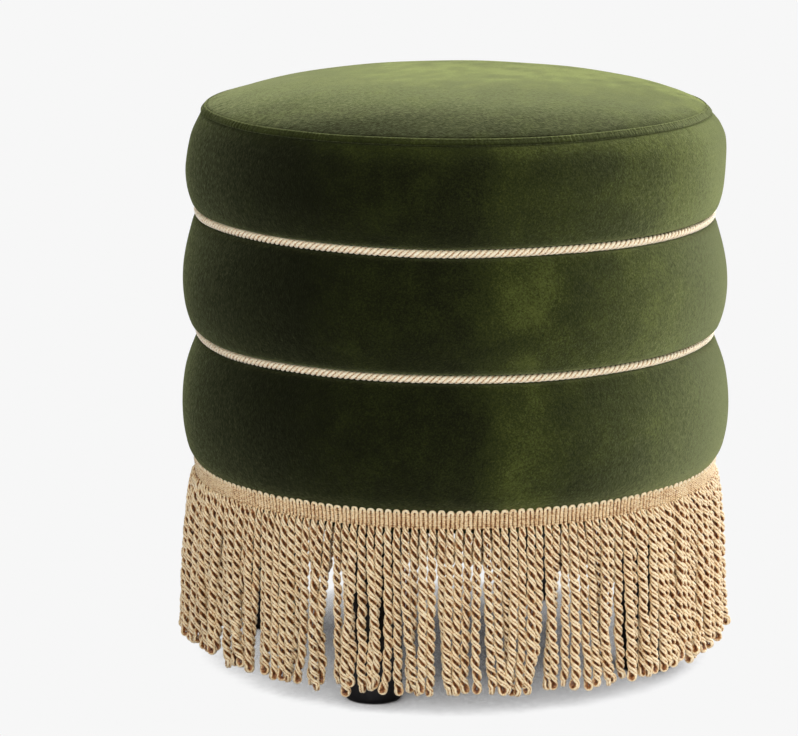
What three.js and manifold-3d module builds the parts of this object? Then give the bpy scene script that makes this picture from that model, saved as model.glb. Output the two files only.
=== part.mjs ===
// Round velvet tuffet on four turned legs, in millimetres, +Z up.
// The origin is on the floor, in the middle of the four feet. The front of the tuffet faces -Y.
import * as THREE from 'three';
import { mergeVertices } from 'three/addons/utils/BufferGeometryUtils.js';
import Module from 'manifold-3d';

const wasm = await Module();
wasm.setup();

// Clearance between pieces that lie against each other, and the facets of every round piece of the drum.
const gap = 0.3;
const facets = 40;

// Legs, glides and their bolts.
const legNames = ['front', 'right', 'back', 'left'];
const legAngle = -THREE.MathUtils.degToRad(22.6);
const legInset = 36.8;
const legLength = 132;
const legRadius = 20.7;
const legFootRounding = 3;
const legTopChamfer = 1.5;
const legFacets = 16;
const glideProud = 1;
const glideRim = 2.4;
const glideThickness = 3;
const boltRadius = 4;
const boltInLeg = 40;
const boltInBoard = 16;
const boltFacets = 8;

// Plywood boards and rings, pine posts and hardboard walls of the frame.
const frameRadius = 185.5;
const baseLip = 4.9;
const baseThickness = 18;
const topThickness = 15;
const ringThickness = 15;
const ringWidth = 45;
const wallThickness = 3;
const postCount = 6;
const postAngle = -THREE.MathUtils.degToRad(37.6);
const postDepth = 20;
const postWidth = 30;

// Tee nuts in the base board.
const nutWall = 1.3;
const nutBarrel = 11;
const nutFlangeRadius = 11;
const nutFlangeThickness = 1.5;

// Countersunk screws at the ends of the posts.
const screwRadius = 2.2;
const screwHeadRadius = 4.6;
const screwHeadHeight = 3;
const screwLength = 45;
const screwFacets = 6;

// Upholstery: heights are between the creases, swells are measured out from the frame.
const coverThickness = 1.5;
const lowerBandHeight = 111;
const middleBandHeight = 89.9;
const upperBandHeight = 80.4;
const lowerSwell = 18.5;
const middleSwell = 16.5;
const upperSwell = 14.5;
const lowerBellyShare = 0.49;
const middleBellyShare = 0.44;
const upperBellyShare = 0.407;
const hemWidth = 25;
const hemBevel = 0.8;
const footStraight = 4.1;
const footShoulderRise = 15.6;
const footShoulderSwell = 2.8;
const crownRise = 25;
const seamEase = 1.1;
const weltHeight = 4.8;
const weltThickness = 1.9;
const weltProud = 0.5;
const waddingThickness = 5;
const seatFoamThickness = 38.3;
const upperFoamRelief = 7;
const dustCoverThickness = 0.8;
const dustCoverMargin = 7.5;

// Cords that lie in the two creases.
const cordRadius = 3;
const cordSides = 6;
const tuckLean = 0.9;
const shoulderLift = 0.5;
const shoulderSink = 0.8;

// Fringe: woven header, the lower edge that holds the strands, and the strands.
const headerHeight = 13.4;
const headerTopThickness = 1.4;
const headerFootThickness = 2.2;
const fringeEdgeHeight = 2.7;
const fringeEdgeWidth = 5.1;
const fringeQuarters = ['front_right', 'back_right', 'back_left', 'front_left'];
const strandsPerFacet = 5;
const strandRadius = 2.9;
const strandSides = 3;
const strandEndHeight = 21;
const strandEndSpread = 2.5;
const strandFlare = 5.9;

// Shares of a half band, from its belly (0) to its edge (1), at which its outline has a point.
const faceShares = [0.45, 0.8];
const backShare = 0.6;
// Shares of the seat's radius at which the crown's outline has a point.
const crownShares = [0.4, 0.7, 0.9];

// Levels that follow from the sizes above, from the floor up.
const legTop = glideProud + legLength;
const dustCoverBottom = legTop + gap;
const hemBottom = dustCoverBottom + dustCoverThickness + gap;
const baseBottom = hemBottom + coverThickness + gap;
const baseTop = baseBottom + baseThickness;
const lowerCordHeight = hemBottom + lowerBandHeight;
const upperCordHeight = lowerCordHeight + middleBandHeight;
const seamHeight = upperCordHeight + upperBandHeight;
const seatThickness = coverThickness + gap + waddingThickness + gap + seatFoamThickness + gap;
const topBoardTop = seamHeight + crownRise - seatThickness;
const topBoardBottom = topBoardTop - topThickness;

// Radii that follow from the sizes above. The posts stand in the middle of the crease rings' width.
const baseRadius = frameRadius + baseLip;
const legPatternRadius = baseRadius - legInset;
const postPatternRadius = frameRadius - ringWidth / 2;
const glideRecessRadius = legRadius - legFootRounding - glideRim;
const glideRadius = glideRecessRadius - gap;
const footRadius = baseRadius + gap + coverThickness;
const creaseRadius = frameRadius + gap + coverThickness;
const cordCentreRadius = creaseRadius + gap + cordRadius;
const shoulderRadius = cordCentreRadius + cordRadius - shoulderSink;
const seamRadius = frameRadius + seamEase;

const velvet = { color: 0x3a4224, roughness: 0.95, metalness: 0 };
const cordCotton = { color: 0xddc6a2, roughness: 0.6, metalness: 0 };
const fringeCotton = { color: 0xc4a171, roughness: 0.65, metalness: 0 };
const plywood = { color: 0xc9a878, roughness: 0.8, metalness: 0 };
const pine = { color: 0xd8b985, roughness: 0.8, metalness: 0 };
const hardboard = { color: 0x6b4a2e, roughness: 0.85, metalness: 0 };
const foam = { color: 0xe9dfc4, roughness: 1, metalness: 0 };
const wadding = { color: 0xf4f2ec, roughness: 1, metalness: 0 };
const dustCloth = { color: 0x1b1b1b, roughness: 1, metalness: 0 };
const blackLacquer = { color: 0x111111, roughness: 0.35, metalness: 0 };
const zincSteel = { color: 0xa9abad, roughness: 0.4, metalness: 1 };
const glidePlastic = { color: 0x202020, roughness: 0.5, metalness: 0 };

const tuffet = new THREE.Group();

// Adds a named piece with a material of its own.
function addPiece(name, geometry, finish) {
  const piece = new THREE.Mesh(geometry, new THREE.MeshStandardMaterial(finish));
  piece.name = name;
  tuffet.add(piece);
}

// A point on a circle round the tuffet's axis. Angle 0 is at the front, and positive angles turn to the right.
function around(angle, radius) {
  return [radius * Math.sin(angle), -radius * Math.cos(angle)];
}

// Moves a shape to a place round the axis and turns it so that its own -Y side faces outwards.
function setAround(geometry, angle, radius) {
  const [x, y] = around(angle, radius);
  return geometry.rotateZ(angle).translate(x, y, 0);
}

// A solid of revolution. The outline's points are [radius, height], anticlockwise with the axis on the left.
function turned(outline, sides = facets) {
  const points = outline.map(([radius, height]) => new THREE.Vector2(radius, height));
  const clearOfAxis = points[0].x > 0;
  if (clearOfAxis) {
    points.push(points[0].clone());
  }
  return new THREE.LatheGeometry(points, sides).rotateX(Math.PI / 2);
}

// Joins equal corners and leaves out the triangles that have no area, so that a shape can be joined or cut.
function toSolid(geometry) {
  const bare = geometry.clone();
  bare.deleteAttribute('normal');
  bare.deleteAttribute('uv');
  const merged = mergeVertices(bare);
  const corners = [];
  for (let i = 0; i < merged.index.count; i += 3) {
    const [a, b, c] = [merged.index.getX(i), merged.index.getX(i + 1), merged.index.getX(i + 2)];
    if (a !== b && b !== c && c !== a) {
      corners.push(a, b, c);
    }
  }
  const vertProperties = new Float32Array(merged.attributes.position.array);
  return new wasm.Manifold(new wasm.Mesh({ numProp: 3, vertProperties, triVerts: new Uint32Array(corners) }));
}

function toGeometry(solid) {
  const mesh = solid.getMesh();
  const geometry = new THREE.BufferGeometry();
  geometry.setAttribute('position', new THREE.BufferAttribute(mesh.vertProperties, 3));
  geometry.setIndex(new THREE.BufferAttribute(mesh.triVerts, 1));
  geometry.computeVertexNormals();
  return geometry;
}

function cut(geometry, cutters) {
  const whole = toSolid(geometry);
  return toGeometry(cutters.reduce((solid, cutter) => solid.subtract(toSolid(cutter)), whole));
}

// A length of ring with closed ends, from one angle to another, for an outline that bulges outwards everywhere.
function ringPart(outline, startAngle, endAngle, steps) {
  const corners = outline.length;
  const positions = [];
  for (let step = 0; step <= steps; step += 1) {
    const angle = THREE.MathUtils.lerp(startAngle, endAngle, step / steps);
    for (const [radius, height] of outline) {
      positions.push(...around(angle, radius), height);
    }
  }
  const index = [];
  for (let step = 0; step < steps; step += 1) {
    for (let corner = 0; corner < corners; corner += 1) {
      const here = step * corners + corner;
      const next = step * corners + (corner + 1) % corners;
      index.push(here, here + corners, next, next, here + corners, next + corners);
    }
  }
  const lastRing = steps * corners;
  for (let corner = 1; corner < corners - 1; corner += 1) {
    index.push(0, corner, corner + 1);
    index.push(lastRing, lastRing + corner + 1, lastRing + corner);
  }
  const geometry = new THREE.BufferGeometry();
  geometry.setAttribute('position', new THREE.Float32BufferAttribute(positions, 3));
  geometry.setIndex(index);
  return geometry;
}

// The places round the axis of something that repeats, each with its name ending and its angle.
function placesAround(endings, firstAngle) {
  return endings.map((ending, i) => ({ ending, angle: firstAngle + (i * 2 * Math.PI) / endings.length }));
}

const postNumbers = Array.from({ length: postCount }, (_, i) => `${i + 1}`);
const legPlaces = placesAround(legNames, legAngle);
const postPlaces = placesAround(postNumbers, postAngle);

// Turned leg with a recess for its glide and a blind hole for its bolt.
function addLeg({ ending, angle }) {
  const recessTop = glideThickness + gap;
  const boltBottom = legTop - boltInLeg - gap;
  const outline = [
    [0, recessTop],
    [glideRecessRadius, recessTop],
    [glideRecessRadius, glideProud],
    [legRadius - legFootRounding, glideProud],
    [legRadius, glideProud + legFootRounding],
    [legRadius, legTop - legTopChamfer],
    [legRadius - legTopChamfer, legTop],
    [boltRadius + gap, legTop],
    [boltRadius + gap, boltBottom],
    [0, boltBottom],
  ];
  addPiece(`leg_${ending}`, setAround(turned(outline, legFacets), angle, legPatternRadius), blackLacquer);
}

function addGlide({ ending, angle }) {
  const outline = [[0, 0], [glideRadius, 0], [glideRadius, glideThickness], [0, glideThickness]];
  const disc = turned(outline, legFacets);
  addPiece(`glide_${ending}`, setAround(disc, angle, legPatternRadius), glidePlastic);
}

function addHangerBolt({ ending, angle }) {
  const bottom = legTop - boltInLeg;
  const top = baseBottom + boltInBoard;
  const rod = turned([[0, bottom], [boltRadius, bottom], [boltRadius, top], [0, top]], boltFacets);
  addPiece(`hanger_bolt_${ending}`, setAround(rod, angle, legPatternRadius), zincSteel);
}

// Tee nut: its flange lies on the base board and its barrel goes down round the bolt.
function addTeeNut({ ending, angle }) {
  const boreRadius = boltRadius + gap;
  const barrelRadius = boreRadius + nutWall;
  const flangeBottom = baseTop + gap;
  const flangeTop = flangeBottom + nutFlangeThickness;
  const outline = [
    [boreRadius, flangeBottom - nutBarrel],
    [barrelRadius, flangeBottom - nutBarrel],
    [barrelRadius, flangeBottom],
    [nutFlangeRadius, flangeBottom],
    [nutFlangeRadius, flangeTop],
    [boreRadius, flangeTop],
  ];
  addPiece(`tee_nut_${ending}`, setAround(turned(outline, boltFacets), angle, legPatternRadius), zincSteel);
}

// A round rod through a board, for cutting a hole whose length runs past both faces.
function holeCutter(radius, bottom, top, angle, patternRadius, sides) {
  const overrun = top - bottom;
  const [low, high] = [bottom - overrun, top + overrun];
  const outline = [[0, low], [radius, low], [radius, high], [0, high]];
  return setAround(turned(outline, sides), angle, patternRadius);
}

// Outline of a countersunk screw from its head's face. Direction 1 points up into a post, -1 points down.
function screwOutline(face, direction, clearance) {
  const outline = [
    [0, face],
    [screwHeadRadius + clearance, face],
    [screwRadius + clearance, face + direction * screwHeadHeight],
    [screwRadius + clearance, face + direction * (screwLength + clearance)],
    [0, face + direction * (screwLength + screwRadius + 2 * clearance)],
  ];
  return direction > 0 ? outline : outline.reverse();
}

// The screw's shape grown by its clearance, with its head carried on past the board's face.
function screwCutter(face, direction, angle) {
  const overrun = direction * screwHeadHeight;
  const grown = screwOutline(face, direction, gap);
  const headRim = [screwHeadRadius + gap, face - overrun];
  const headMiddle = [0, face - overrun];
  if (direction > 0) {
    grown.splice(0, 1, headMiddle, headRim);
  } else {
    grown.splice(grown.length - 1, 1, headRim, headMiddle);
  }
  return setAround(turned(grown, screwFacets), angle, postPatternRadius);
}

function addPostScrews({ ending, angle }) {
  const lower = turned(screwOutline(baseBottom + gap, 1, 0), screwFacets);
  addPiece(`base_screw_${ending}`, setAround(lower, angle, postPatternRadius), zincSteel);
  const upper = turned(screwOutline(topBoardTop - gap, -1, 0), screwFacets);
  addPiece(`top_screw_${ending}`, setAround(upper, angle, postPatternRadius), zincSteel);
}

// Plywood base board with holes for the tee nuts and the lower screws.
function addBaseBoard() {
  const disc = turned([[0, baseBottom], [baseRadius, baseBottom], [baseRadius, baseTop], [0, baseTop]]);
  const holeRadius = boltRadius + gap + nutWall + gap;
  const nutHoles = legPlaces.map(({ angle }) =>
    holeCutter(holeRadius, baseBottom, baseTop, angle, legPatternRadius, boltFacets));
  const screwHoles = postPlaces.map(({ angle }) => screwCutter(baseBottom + gap, 1, angle));
  addPiece('base_board', cut(disc, [...nutHoles, ...screwHoles]), plywood);
}

function addTopBoard() {
  const [bottom, top] = [topBoardBottom, topBoardTop];
  const outline = [[0, bottom], [frameRadius, bottom], [frameRadius, top], [0, top]];
  const screwHoles = postPlaces.map(({ angle }) => screwCutter(topBoardTop - gap, -1, angle));
  addPiece('top_board', cut(turned(outline), screwHoles), plywood);
}

// Pine post from board to board, with a pilot hole in each end.
function addPost({ ending, angle }) {
  const bottom = baseTop + gap;
  const height = topBoardBottom - gap - bottom;
  const bar = new THREE.BoxGeometry(postWidth, postDepth, height).translate(0, 0, bottom + height / 2);
  const holes = [screwCutter(baseBottom + gap, 1, angle), screwCutter(topBoardTop - gap, -1, angle)];
  addPiece(`post_${ending}`, cut(setAround(bar, angle, postPatternRadius), holes), pine);
}

// Plywood ring behind a crease, let over the posts. The covers are drawn in and stapled to its edge.
function addCreaseRing(name, middle) {
  const bottom = middle - ringThickness / 2;
  const top = middle + ringThickness / 2;
  const innerRadius = frameRadius - ringWidth;
  const ring = turned([[innerRadius, bottom], [frameRadius, bottom], [frameRadius, top], [innerRadius, top]]);
  const sockets = postPlaces.map(({ angle }) => {
    const socket = new THREE.BoxGeometry(postWidth + 2 * gap, postDepth + 2 * gap, 2 * ringThickness);
    return setAround(socket.translate(0, 0, middle), angle, postPatternRadius);
  });
  addPiece(name, cut(ring, sockets), plywood);
}

// Bent hardboard wall between two boards or rings.
function addWall(name, below, above) {
  const [bottom, top] = [below + gap, above - gap];
  const innerRadius = frameRadius - wallThickness;
  const outline = [[innerRadius, bottom], [frameRadius, bottom], [frameRadius, top], [innerRadius, top]];
  addPiece(name, turned(outline), hardboard);
}

function inwards(points, distance) {
  return points.map(([radius, height]) => [radius - distance, height]);
}

// A point of a band's swollen face. Share 0 is the belly and share 1 is the end of that half of the band.
function facePoint(belly, end, share) {
  const radius = belly[0] - (belly[0] - end[0]) * share * share;
  return [radius, THREE.MathUtils.lerp(belly[1], end[1], share)];
}

// The edge that a band tucks in behind a cord. Side 1 is the band above the cord, side -1 the one below it.
// The face's points run from the depth of the crease out to the shoulder.
function tuckedEdge(cordHeight, side) {
  const tuckRise = cordRadius + gap;
  const face = [
    [creaseRadius, cordHeight + (side * gap) / 2],
    [creaseRadius + tuckLean, cordHeight + side * tuckRise],
    [shoulderRadius, cordHeight + side * (tuckRise + shoulderLift)],
  ];
  const back = inwards(face, coverThickness);
  back[1][1] += side * coverThickness;
  back[2][1] += side * coverThickness;
  const foamEdge = [back[2][0] - gap, back[2][1] + side * gap];
  return { face, back, shoulder: face[2], foamEdge };
}

// Face and back of a band between its two ends, from the lower end up. The ends themselves are left out.
function swollenFace(lowerEnd, belly, upperEnd) {
  const lower = faceShares.map((share) => facePoint(belly, lowerEnd, share)).reverse();
  const upper = faceShares.map((share) => facePoint(belly, upperEnd, share));
  return [...lower, belly, ...upper];
}

function swollenBack(lowerEnd, belly, upperEnd, depth) {
  return inwards([facePoint(belly, lowerEnd, backShare), belly, facePoint(belly, upperEnd, backShare)], depth);
}

const lowerEdges = { above: tuckedEdge(lowerCordHeight, 1), below: tuckedEdge(lowerCordHeight, -1) };
const upperEdges = { above: tuckedEdge(upperCordHeight, 1), below: tuckedEdge(upperCordHeight, -1) };
const lowerBelly = [frameRadius + lowerSwell, hemBottom + lowerBandHeight * lowerBellyShare];
const middleBelly = [frameRadius + middleSwell, lowerCordHeight + middleBandHeight * middleBellyShare];
const upperBelly = [frameRadius + upperSwell, upperCordHeight + upperBandHeight * upperBellyShare];
const footShoulder = [footRadius + footShoulderSwell, hemBottom + footShoulderRise];
const seamEdge = [seamRadius, seamHeight];
const weltShare = 1 - weltHeight / (seamHeight - upperBelly[1]);
const weltFoot = facePoint(upperBelly, seamEdge, weltShare);

// Lower band: it bulges between the lower crease and the foot, and its hem is turned under the base board.
function addLowerBandCover() {
  const edge = lowerEdges.below;
  const hemRadius = baseRadius - hemWidth;
  const face = [
    [hemRadius, hemBottom],
    [footRadius - hemBevel, hemBottom],
    [footRadius, hemBottom + hemBevel],
    [footRadius, hemBottom + footStraight],
    footShoulder,
    ...swollenFace(footShoulder, lowerBelly, edge.shoulder),
    ...[...edge.face].reverse(),
  ];
  const back = [
    ...edge.back,
    ...swollenBack(footShoulder, lowerBelly, edge.shoulder, coverThickness).reverse(),
    [footShoulder[0] - coverThickness, footShoulder[1]],
    [footRadius - coverThickness, hemBottom + footStraight],
    [footRadius - coverThickness, hemBottom + coverThickness],
    [hemRadius, hemBottom + coverThickness],
  ];
  addPiece('lower_band_cover', turned([...face, ...back]), velvet);
}

function addMiddleBandCover() {
  const [lower, upper] = [lowerEdges.above, upperEdges.below];
  const face = [
    ...lower.face,
    ...swollenFace(lower.shoulder, middleBelly, upper.shoulder),
    ...[...upper.face].reverse(),
  ];
  const back = [
    ...upper.back,
    ...swollenBack(lower.shoulder, middleBelly, upper.shoulder, coverThickness).reverse(),
    ...[...lower.back].reverse(),
  ];
  addPiece('middle_band_cover', turned([...face, ...back]), velvet);
}

// Upper band: its top edge is sewn under the welt.
function addUpperBandCover() {
  const edge = upperEdges.above;
  const face = [...edge.face, ...swollenFace(edge.shoulder, upperBelly, weltFoot), weltFoot];
  const back = [
    [weltFoot[0] - coverThickness, weltFoot[1]],
    ...swollenBack(edge.shoulder, upperBelly, weltFoot, coverThickness).reverse(),
    ...[...edge.back].reverse(),
  ];
  addPiece('upper_band_cover', turned([...face, ...back]), velvet);
}

// Foam between the frame and a cover, following the cover's back.
function addFoamBand(name, foot, back, head) {
  const inner = frameRadius + gap;
  addPiece(name, turned([[inner, foot[1]], foot, ...back, head, [inner, head[1]]]), foam);
}

function addFoamBands() {
  const depth = coverThickness + gap;
  const lowerFoot = [footShoulder[0] - depth, baseTop + gap];
  const lowerBack = swollenBack(footShoulder, lowerBelly, lowerEdges.below.shoulder, depth);
  addFoamBand('lower_foam_band', lowerFoot, lowerBack, lowerEdges.below.foamEdge);
  const middleBack = swollenBack(lowerEdges.above.shoulder, middleBelly, upperEdges.below.shoulder, depth);
  addFoamBand('middle_foam_band', lowerEdges.above.foamEdge, middleBack, upperEdges.below.foamEdge);
  const upperBack = swollenBack(upperEdges.above.shoulder, upperBelly, weltFoot, depth);
  const upperHead = [weltFoot[0] - depth, weltFoot[1] - upperFoamRelief];
  addFoamBand('upper_foam_band', upperEdges.above.foamEdge, upperBack, upperHead);
}

// A curve of the crown, from the rim to the axis, a given depth below the seat's face.
function crownCurve(rimRadius, depth) {
  const shares = [1, ...[...crownShares].reverse(), 0];
  return shares.map((share) => {
    const radius = rimRadius * share;
    return [radius, seamHeight + crownRise * (1 - (radius / seamRadius) ** 2) - depth];
  });
}

function addSeat() {
  const panelRadius = seamRadius - coverThickness;
  const padRadius = panelRadius - gap;
  const underPanel = coverThickness + gap;
  const underWadding = underPanel + waddingThickness;
  const panelFace = crownCurve(panelRadius, 0);
  const panelBack = crownCurve(panelRadius, coverThickness).reverse();
  addPiece('seat_panel', turned([...panelBack, ...panelFace]), velvet);
  const waddingFace = crownCurve(padRadius, underPanel);
  const waddingBack = crownCurve(padRadius, underWadding).reverse();
  addPiece('seat_wadding', turned([...waddingBack, ...waddingFace]), wadding);
  const foamBottom = topBoardTop + gap;
  const foamFace = crownCurve(padRadius, underWadding + gap);
  addPiece('seat_foam', turned([[0, foamBottom], [padRadius, foamBottom], ...foamFace]), foam);
}

// Welt: a narrow strip round the seat's rim, sewn between the seat panel and the upper band.
function addSeatWelt() {
  const foot = weltFoot[1] + gap;
  const middle = facePoint(upperBelly, seamEdge, (1 + weltShare) / 2);
  const outline = [
    [weltFoot[0] - weltThickness, foot],
    [weltFoot[0] + weltProud, foot],
    [middle[0] + weltProud, middle[1]],
    [seamRadius + weltProud, seamHeight],
    [seamRadius - coverThickness + gap, seamHeight + weltProud],
  ];
  addPiece('seat_welt', turned(outline), velvet);
}

// Cord in a crease: one ring that closes on itself.
function addCord(name, height) {
  const outline = [];
  for (let side = 0; side < cordSides; side += 1) {
    const turn = (side * 2 * Math.PI) / cordSides;
    outline.push([cordCentreRadius + cordRadius * Math.cos(turn), height + cordRadius * Math.sin(turn)]);
  }
  addPiece(name, turned(outline), cordCotton);
}

const fringeEdgeTop = hemBottom + footStraight;
const fringeEdgeBottom = fringeEdgeTop - fringeEdgeHeight;

// Woven header, which lies on the foot of the lower band.
function addFringeHeader() {
  const foot = fringeEdgeTop + gap;
  const head = foot + headerHeight;
  const headShare = (lowerBelly[1] - head) / (lowerBelly[1] - footShoulder[1]);
  const headRadius = facePoint(lowerBelly, footShoulder, headShare)[0] + gap;
  const outline = [
    [footRadius + gap, foot],
    [footRadius + headerFootThickness, foot],
    [headRadius + headerTopThickness, head],
    [headRadius, head],
  ];
  addPiece('fringe_header', turned(outline), fringeCotton);
}

// One strand, from inside the fringe's lower edge down to its free end, leaning out a little.
// The golden angle spreads the lengths of the strands evenly.
function fringeStrand(angle, edgeShare, number) {
  const top = (fringeEdgeTop + fringeEdgeBottom) / 2;
  const bottom = strandEndHeight + strandEndSpread * Math.sin(number * Math.PI * (Math.sqrt(5) - 1));
  const corners = [];
  for (let side = 0; side < strandSides; side += 1) {
    const turn = (side * 2 * Math.PI) / strandSides;
    corners.push(new THREE.Vector2(strandRadius * Math.sin(turn), -strandRadius * Math.cos(turn)));
  }
  const section = new THREE.Shape(corners);
  const length = Math.hypot(strandFlare, top - bottom);
  const strand = new THREE.ExtrudeGeometry(section, { depth: length, bevelEnabled: false });
  const lean = Math.atan2(strandFlare, top - bottom);
  const facetCosine = Math.cos(Math.PI / facets);
  const topRadius = (footRadius + gap) * facetCosine + gap + strandRadius / 2;
  const along = (edgeShare - 1 / 2) * 2 * Math.tan(Math.PI / facets) * topRadius;
  strand.translate(0, 0, -length).rotateX(-lean).translate(along, -topRadius, top);
  return strand.rotateZ(angle);
}

// A quarter of the fringe: a slice of the lower edge with its strands hanging from it.
function addFringeQuarter(corner, quarter) {
  const facetAngle = (2 * Math.PI) / facets;
  const perQuarter = facets / fringeQuarters.length;
  const start = quarter * perQuarter * facetAngle;
  const inner = footRadius + gap;
  const endGapAngle = gap / 2 / inner;
  const outline = [
    [inner, fringeEdgeBottom],
    [inner + fringeEdgeWidth, fringeEdgeBottom],
    [inner + fringeEdgeWidth, fringeEdgeTop],
    [inner, fringeEdgeTop],
  ];
  const end = start + perQuarter * facetAngle;
  const slice = ringPart(outline, start + endGapAngle, end - endGapAngle, perQuarter);
  const pieces = [toSolid(slice)];
  for (let facet = 0; facet < perQuarter; facet += 1) {
    const middle = start + (facet + 1 / 2) * facetAngle;
    for (let i = 0; i < strandsPerFacet; i += 1) {
      const number = (quarter * perQuarter + facet) * strandsPerFacet + i;
      pieces.push(toSolid(fringeStrand(middle, (i + 1 / 2) / strandsPerFacet, number)));
    }
  }
  addPiece(`fringe_strands_${corner}`, toGeometry(wasm.Manifold.union(pieces)), fringeCotton);
}

// Dust cover under the base, with a hole for each bolt.
function addDustCover() {
  const radius = baseRadius - dustCoverMargin;
  const top = dustCoverBottom + dustCoverThickness;
  const sheet = turned([[0, dustCoverBottom], [radius, dustCoverBottom], [radius, top], [0, top]]);
  const holes = legPlaces.map(({ angle }) =>
    holeCutter(boltRadius + gap, dustCoverBottom, top, angle, legPatternRadius, boltFacets));
  addPiece('dust_cover', cut(sheet, holes), dustCloth);
}

legPlaces.forEach(addLeg);
legPlaces.forEach(addGlide);
legPlaces.forEach(addHangerBolt);
legPlaces.forEach(addTeeNut);
addBaseBoard();
postPlaces.forEach(addPost);
postPlaces.forEach(addPostScrews);
addCreaseRing('lower_crease_ring', lowerCordHeight);
addCreaseRing('upper_crease_ring', upperCordHeight);
addTopBoard();
addWall('lower_wall', baseTop, lowerCordHeight - ringThickness / 2);
addWall('middle_wall', lowerCordHeight + ringThickness / 2, upperCordHeight - ringThickness / 2);
addWall('upper_wall', upperCordHeight + ringThickness / 2, topBoardBottom);
addFoamBands();
addSeat();
addLowerBandCover();
addMiddleBandCover();
addUpperBandCover();
addSeatWelt();
addCord('lower_cord', lowerCordHeight);
addCord('upper_cord', upperCordHeight);
addFringeHeader();
fringeQuarters.forEach(addFringeQuarter);
addDustCover();

export default tuffet;
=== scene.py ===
import math

import bpy
import numpy as np
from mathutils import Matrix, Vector


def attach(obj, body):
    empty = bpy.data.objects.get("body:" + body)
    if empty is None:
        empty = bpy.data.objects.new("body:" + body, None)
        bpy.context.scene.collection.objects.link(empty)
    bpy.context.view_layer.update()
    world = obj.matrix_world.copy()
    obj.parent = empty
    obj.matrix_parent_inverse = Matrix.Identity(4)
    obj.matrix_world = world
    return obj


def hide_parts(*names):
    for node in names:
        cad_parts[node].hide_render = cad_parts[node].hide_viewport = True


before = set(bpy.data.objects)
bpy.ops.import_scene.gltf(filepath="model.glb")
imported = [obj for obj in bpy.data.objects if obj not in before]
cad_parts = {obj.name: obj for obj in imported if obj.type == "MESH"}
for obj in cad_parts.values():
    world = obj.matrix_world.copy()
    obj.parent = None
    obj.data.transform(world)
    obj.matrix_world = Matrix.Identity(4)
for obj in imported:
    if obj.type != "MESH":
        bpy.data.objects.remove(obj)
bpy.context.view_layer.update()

# Camera: it stands where the photographer's did, three metres in front of the tuffet, and looks a little
# down on it. Its lens takes in the photograph's frame, in which the tuffet stands right of the middle.
photo_width = 798
tuffet_axis_pixel = 455
focal_pixels = 4092.65
film_width = 36.0
camera_place = (0, -3.0, 0.8428)
camera_pitch = 0.2065
camera_data = bpy.data.cameras.new("product_camera")
camera_data.sensor_fit = "HORIZONTAL"
camera_data.sensor_width = film_width
camera_data.lens = film_width * focal_pixels / photo_width
camera_data.shift_x = (photo_width / 2 - tuffet_axis_pixel) / photo_width
camera = bpy.data.objects.new("product_camera", camera_data)
camera.location = camera_place
camera.rotation_euler = (math.pi / 2 - camera_pitch, 0, 0)
bpy.context.scene.collection.objects.link(camera)
bpy.context.scene.camera = camera
bpy.context.scene.view_settings.view_transform = "Standard"

# Boards and rings: birch plywood, sawn round, sanded and left bare inside the upholstery.
# The base board carries the legs, the rings hold the creases out, and the top board carries the seat.


def linear(colour):
    """An sRGB hex colour as linear red, green, blue and alpha."""
    shares = [int(colour[i:i + 2], 16) / 255 for i in (1, 3, 5)]
    return [s / 12.92 if s <= 0.04045 else ((s + 0.055) / 1.055) ** 2.4 for s in shares] + [1.0]


def per_metre(size):
    """How many times a pattern of that size in millimetres repeats in a metre."""
    return 1000 / size


def start_material(name):
    material = bpy.data.materials.new(name)
    material.use_nodes = True
    material.node_tree.nodes.clear()
    return material


def add_node(material, kind, inputs=None, stops=None, **settings):
    """Adds a node. An input is a value, or the socket that it is linked from, and a node there stands for its
    first output. Stops are a ramp's places and colours."""
    node = material.node_tree.nodes.new("ShaderNode" + kind)
    for name, value in settings.items():
        setattr(node, name, value)
    for name, value in (inputs or {}).items():
        source = value.outputs[0] if isinstance(value, bpy.types.Node) else value
        if isinstance(source, bpy.types.NodeSocket):
            material.node_tree.links.new(source, node.inputs[name])
        else:
            node.inputs[name].default_value = value
    for i, (place, colour) in enumerate(stops or ()):
        stop = node.color_ramp.elements[i] if i < 2 else node.color_ramp.elements.new(place)
        stop.position = place
        stop.color = linear(colour)
    return node


def dress(material, *nodes):
    """Gives CAD nodes whose shape is right a material."""
    for name in nodes:
        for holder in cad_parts[name].material_slots:
            holder.material = material


# Sanded birch: long pale grain on the faces, and the crossed plies as stripes on the edges.
birch_plywood = start_material("birch_plywood_sanded")
plywood_grain_length = 110
plywood_grain_width = 3.5
ply_thickness = 1.4
ply_stripe_share = 0.3
edge_limit = 0.5
plywood_place = add_node(birch_plywood, "TexCoord")
plywood_stretch = add_node(birch_plywood, "Mapping", {
    "Vector": plywood_place.outputs["Object"],
    "Scale": [per_metre(plywood_grain_length)] + [per_metre(plywood_grain_width)] * 2})
plywood_grain = add_node(birch_plywood, "TexNoise", {
    "Vector": plywood_stretch, "Scale": 1.0, "Detail": 7.0, "Roughness": 0.6, "Distortion": 0.4})
plywood_height = add_node(birch_plywood, "SeparateXYZ", {"Vector": plywood_place.outputs["Object"]})
plywood_plies = add_node(birch_plywood, "Math", {
    0: plywood_height.outputs["Z"], 1: per_metre(ply_thickness) * math.pi}, operation="MULTIPLY")
plywood_stripe = add_node(birch_plywood, "Math", {0: plywood_plies}, operation="SINE")
plywood_facing = add_node(birch_plywood, "NewGeometry")
plywood_normal = add_node(birch_plywood, "SeparateXYZ", {"Vector": plywood_facing.outputs["Normal"]})
plywood_flat = add_node(birch_plywood, "Math", {0: plywood_normal.outputs["Z"]}, operation="ABSOLUTE")
plywood_edge = add_node(birch_plywood, "Math", {0: plywood_flat, 1: edge_limit}, operation="LESS_THAN")
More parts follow.
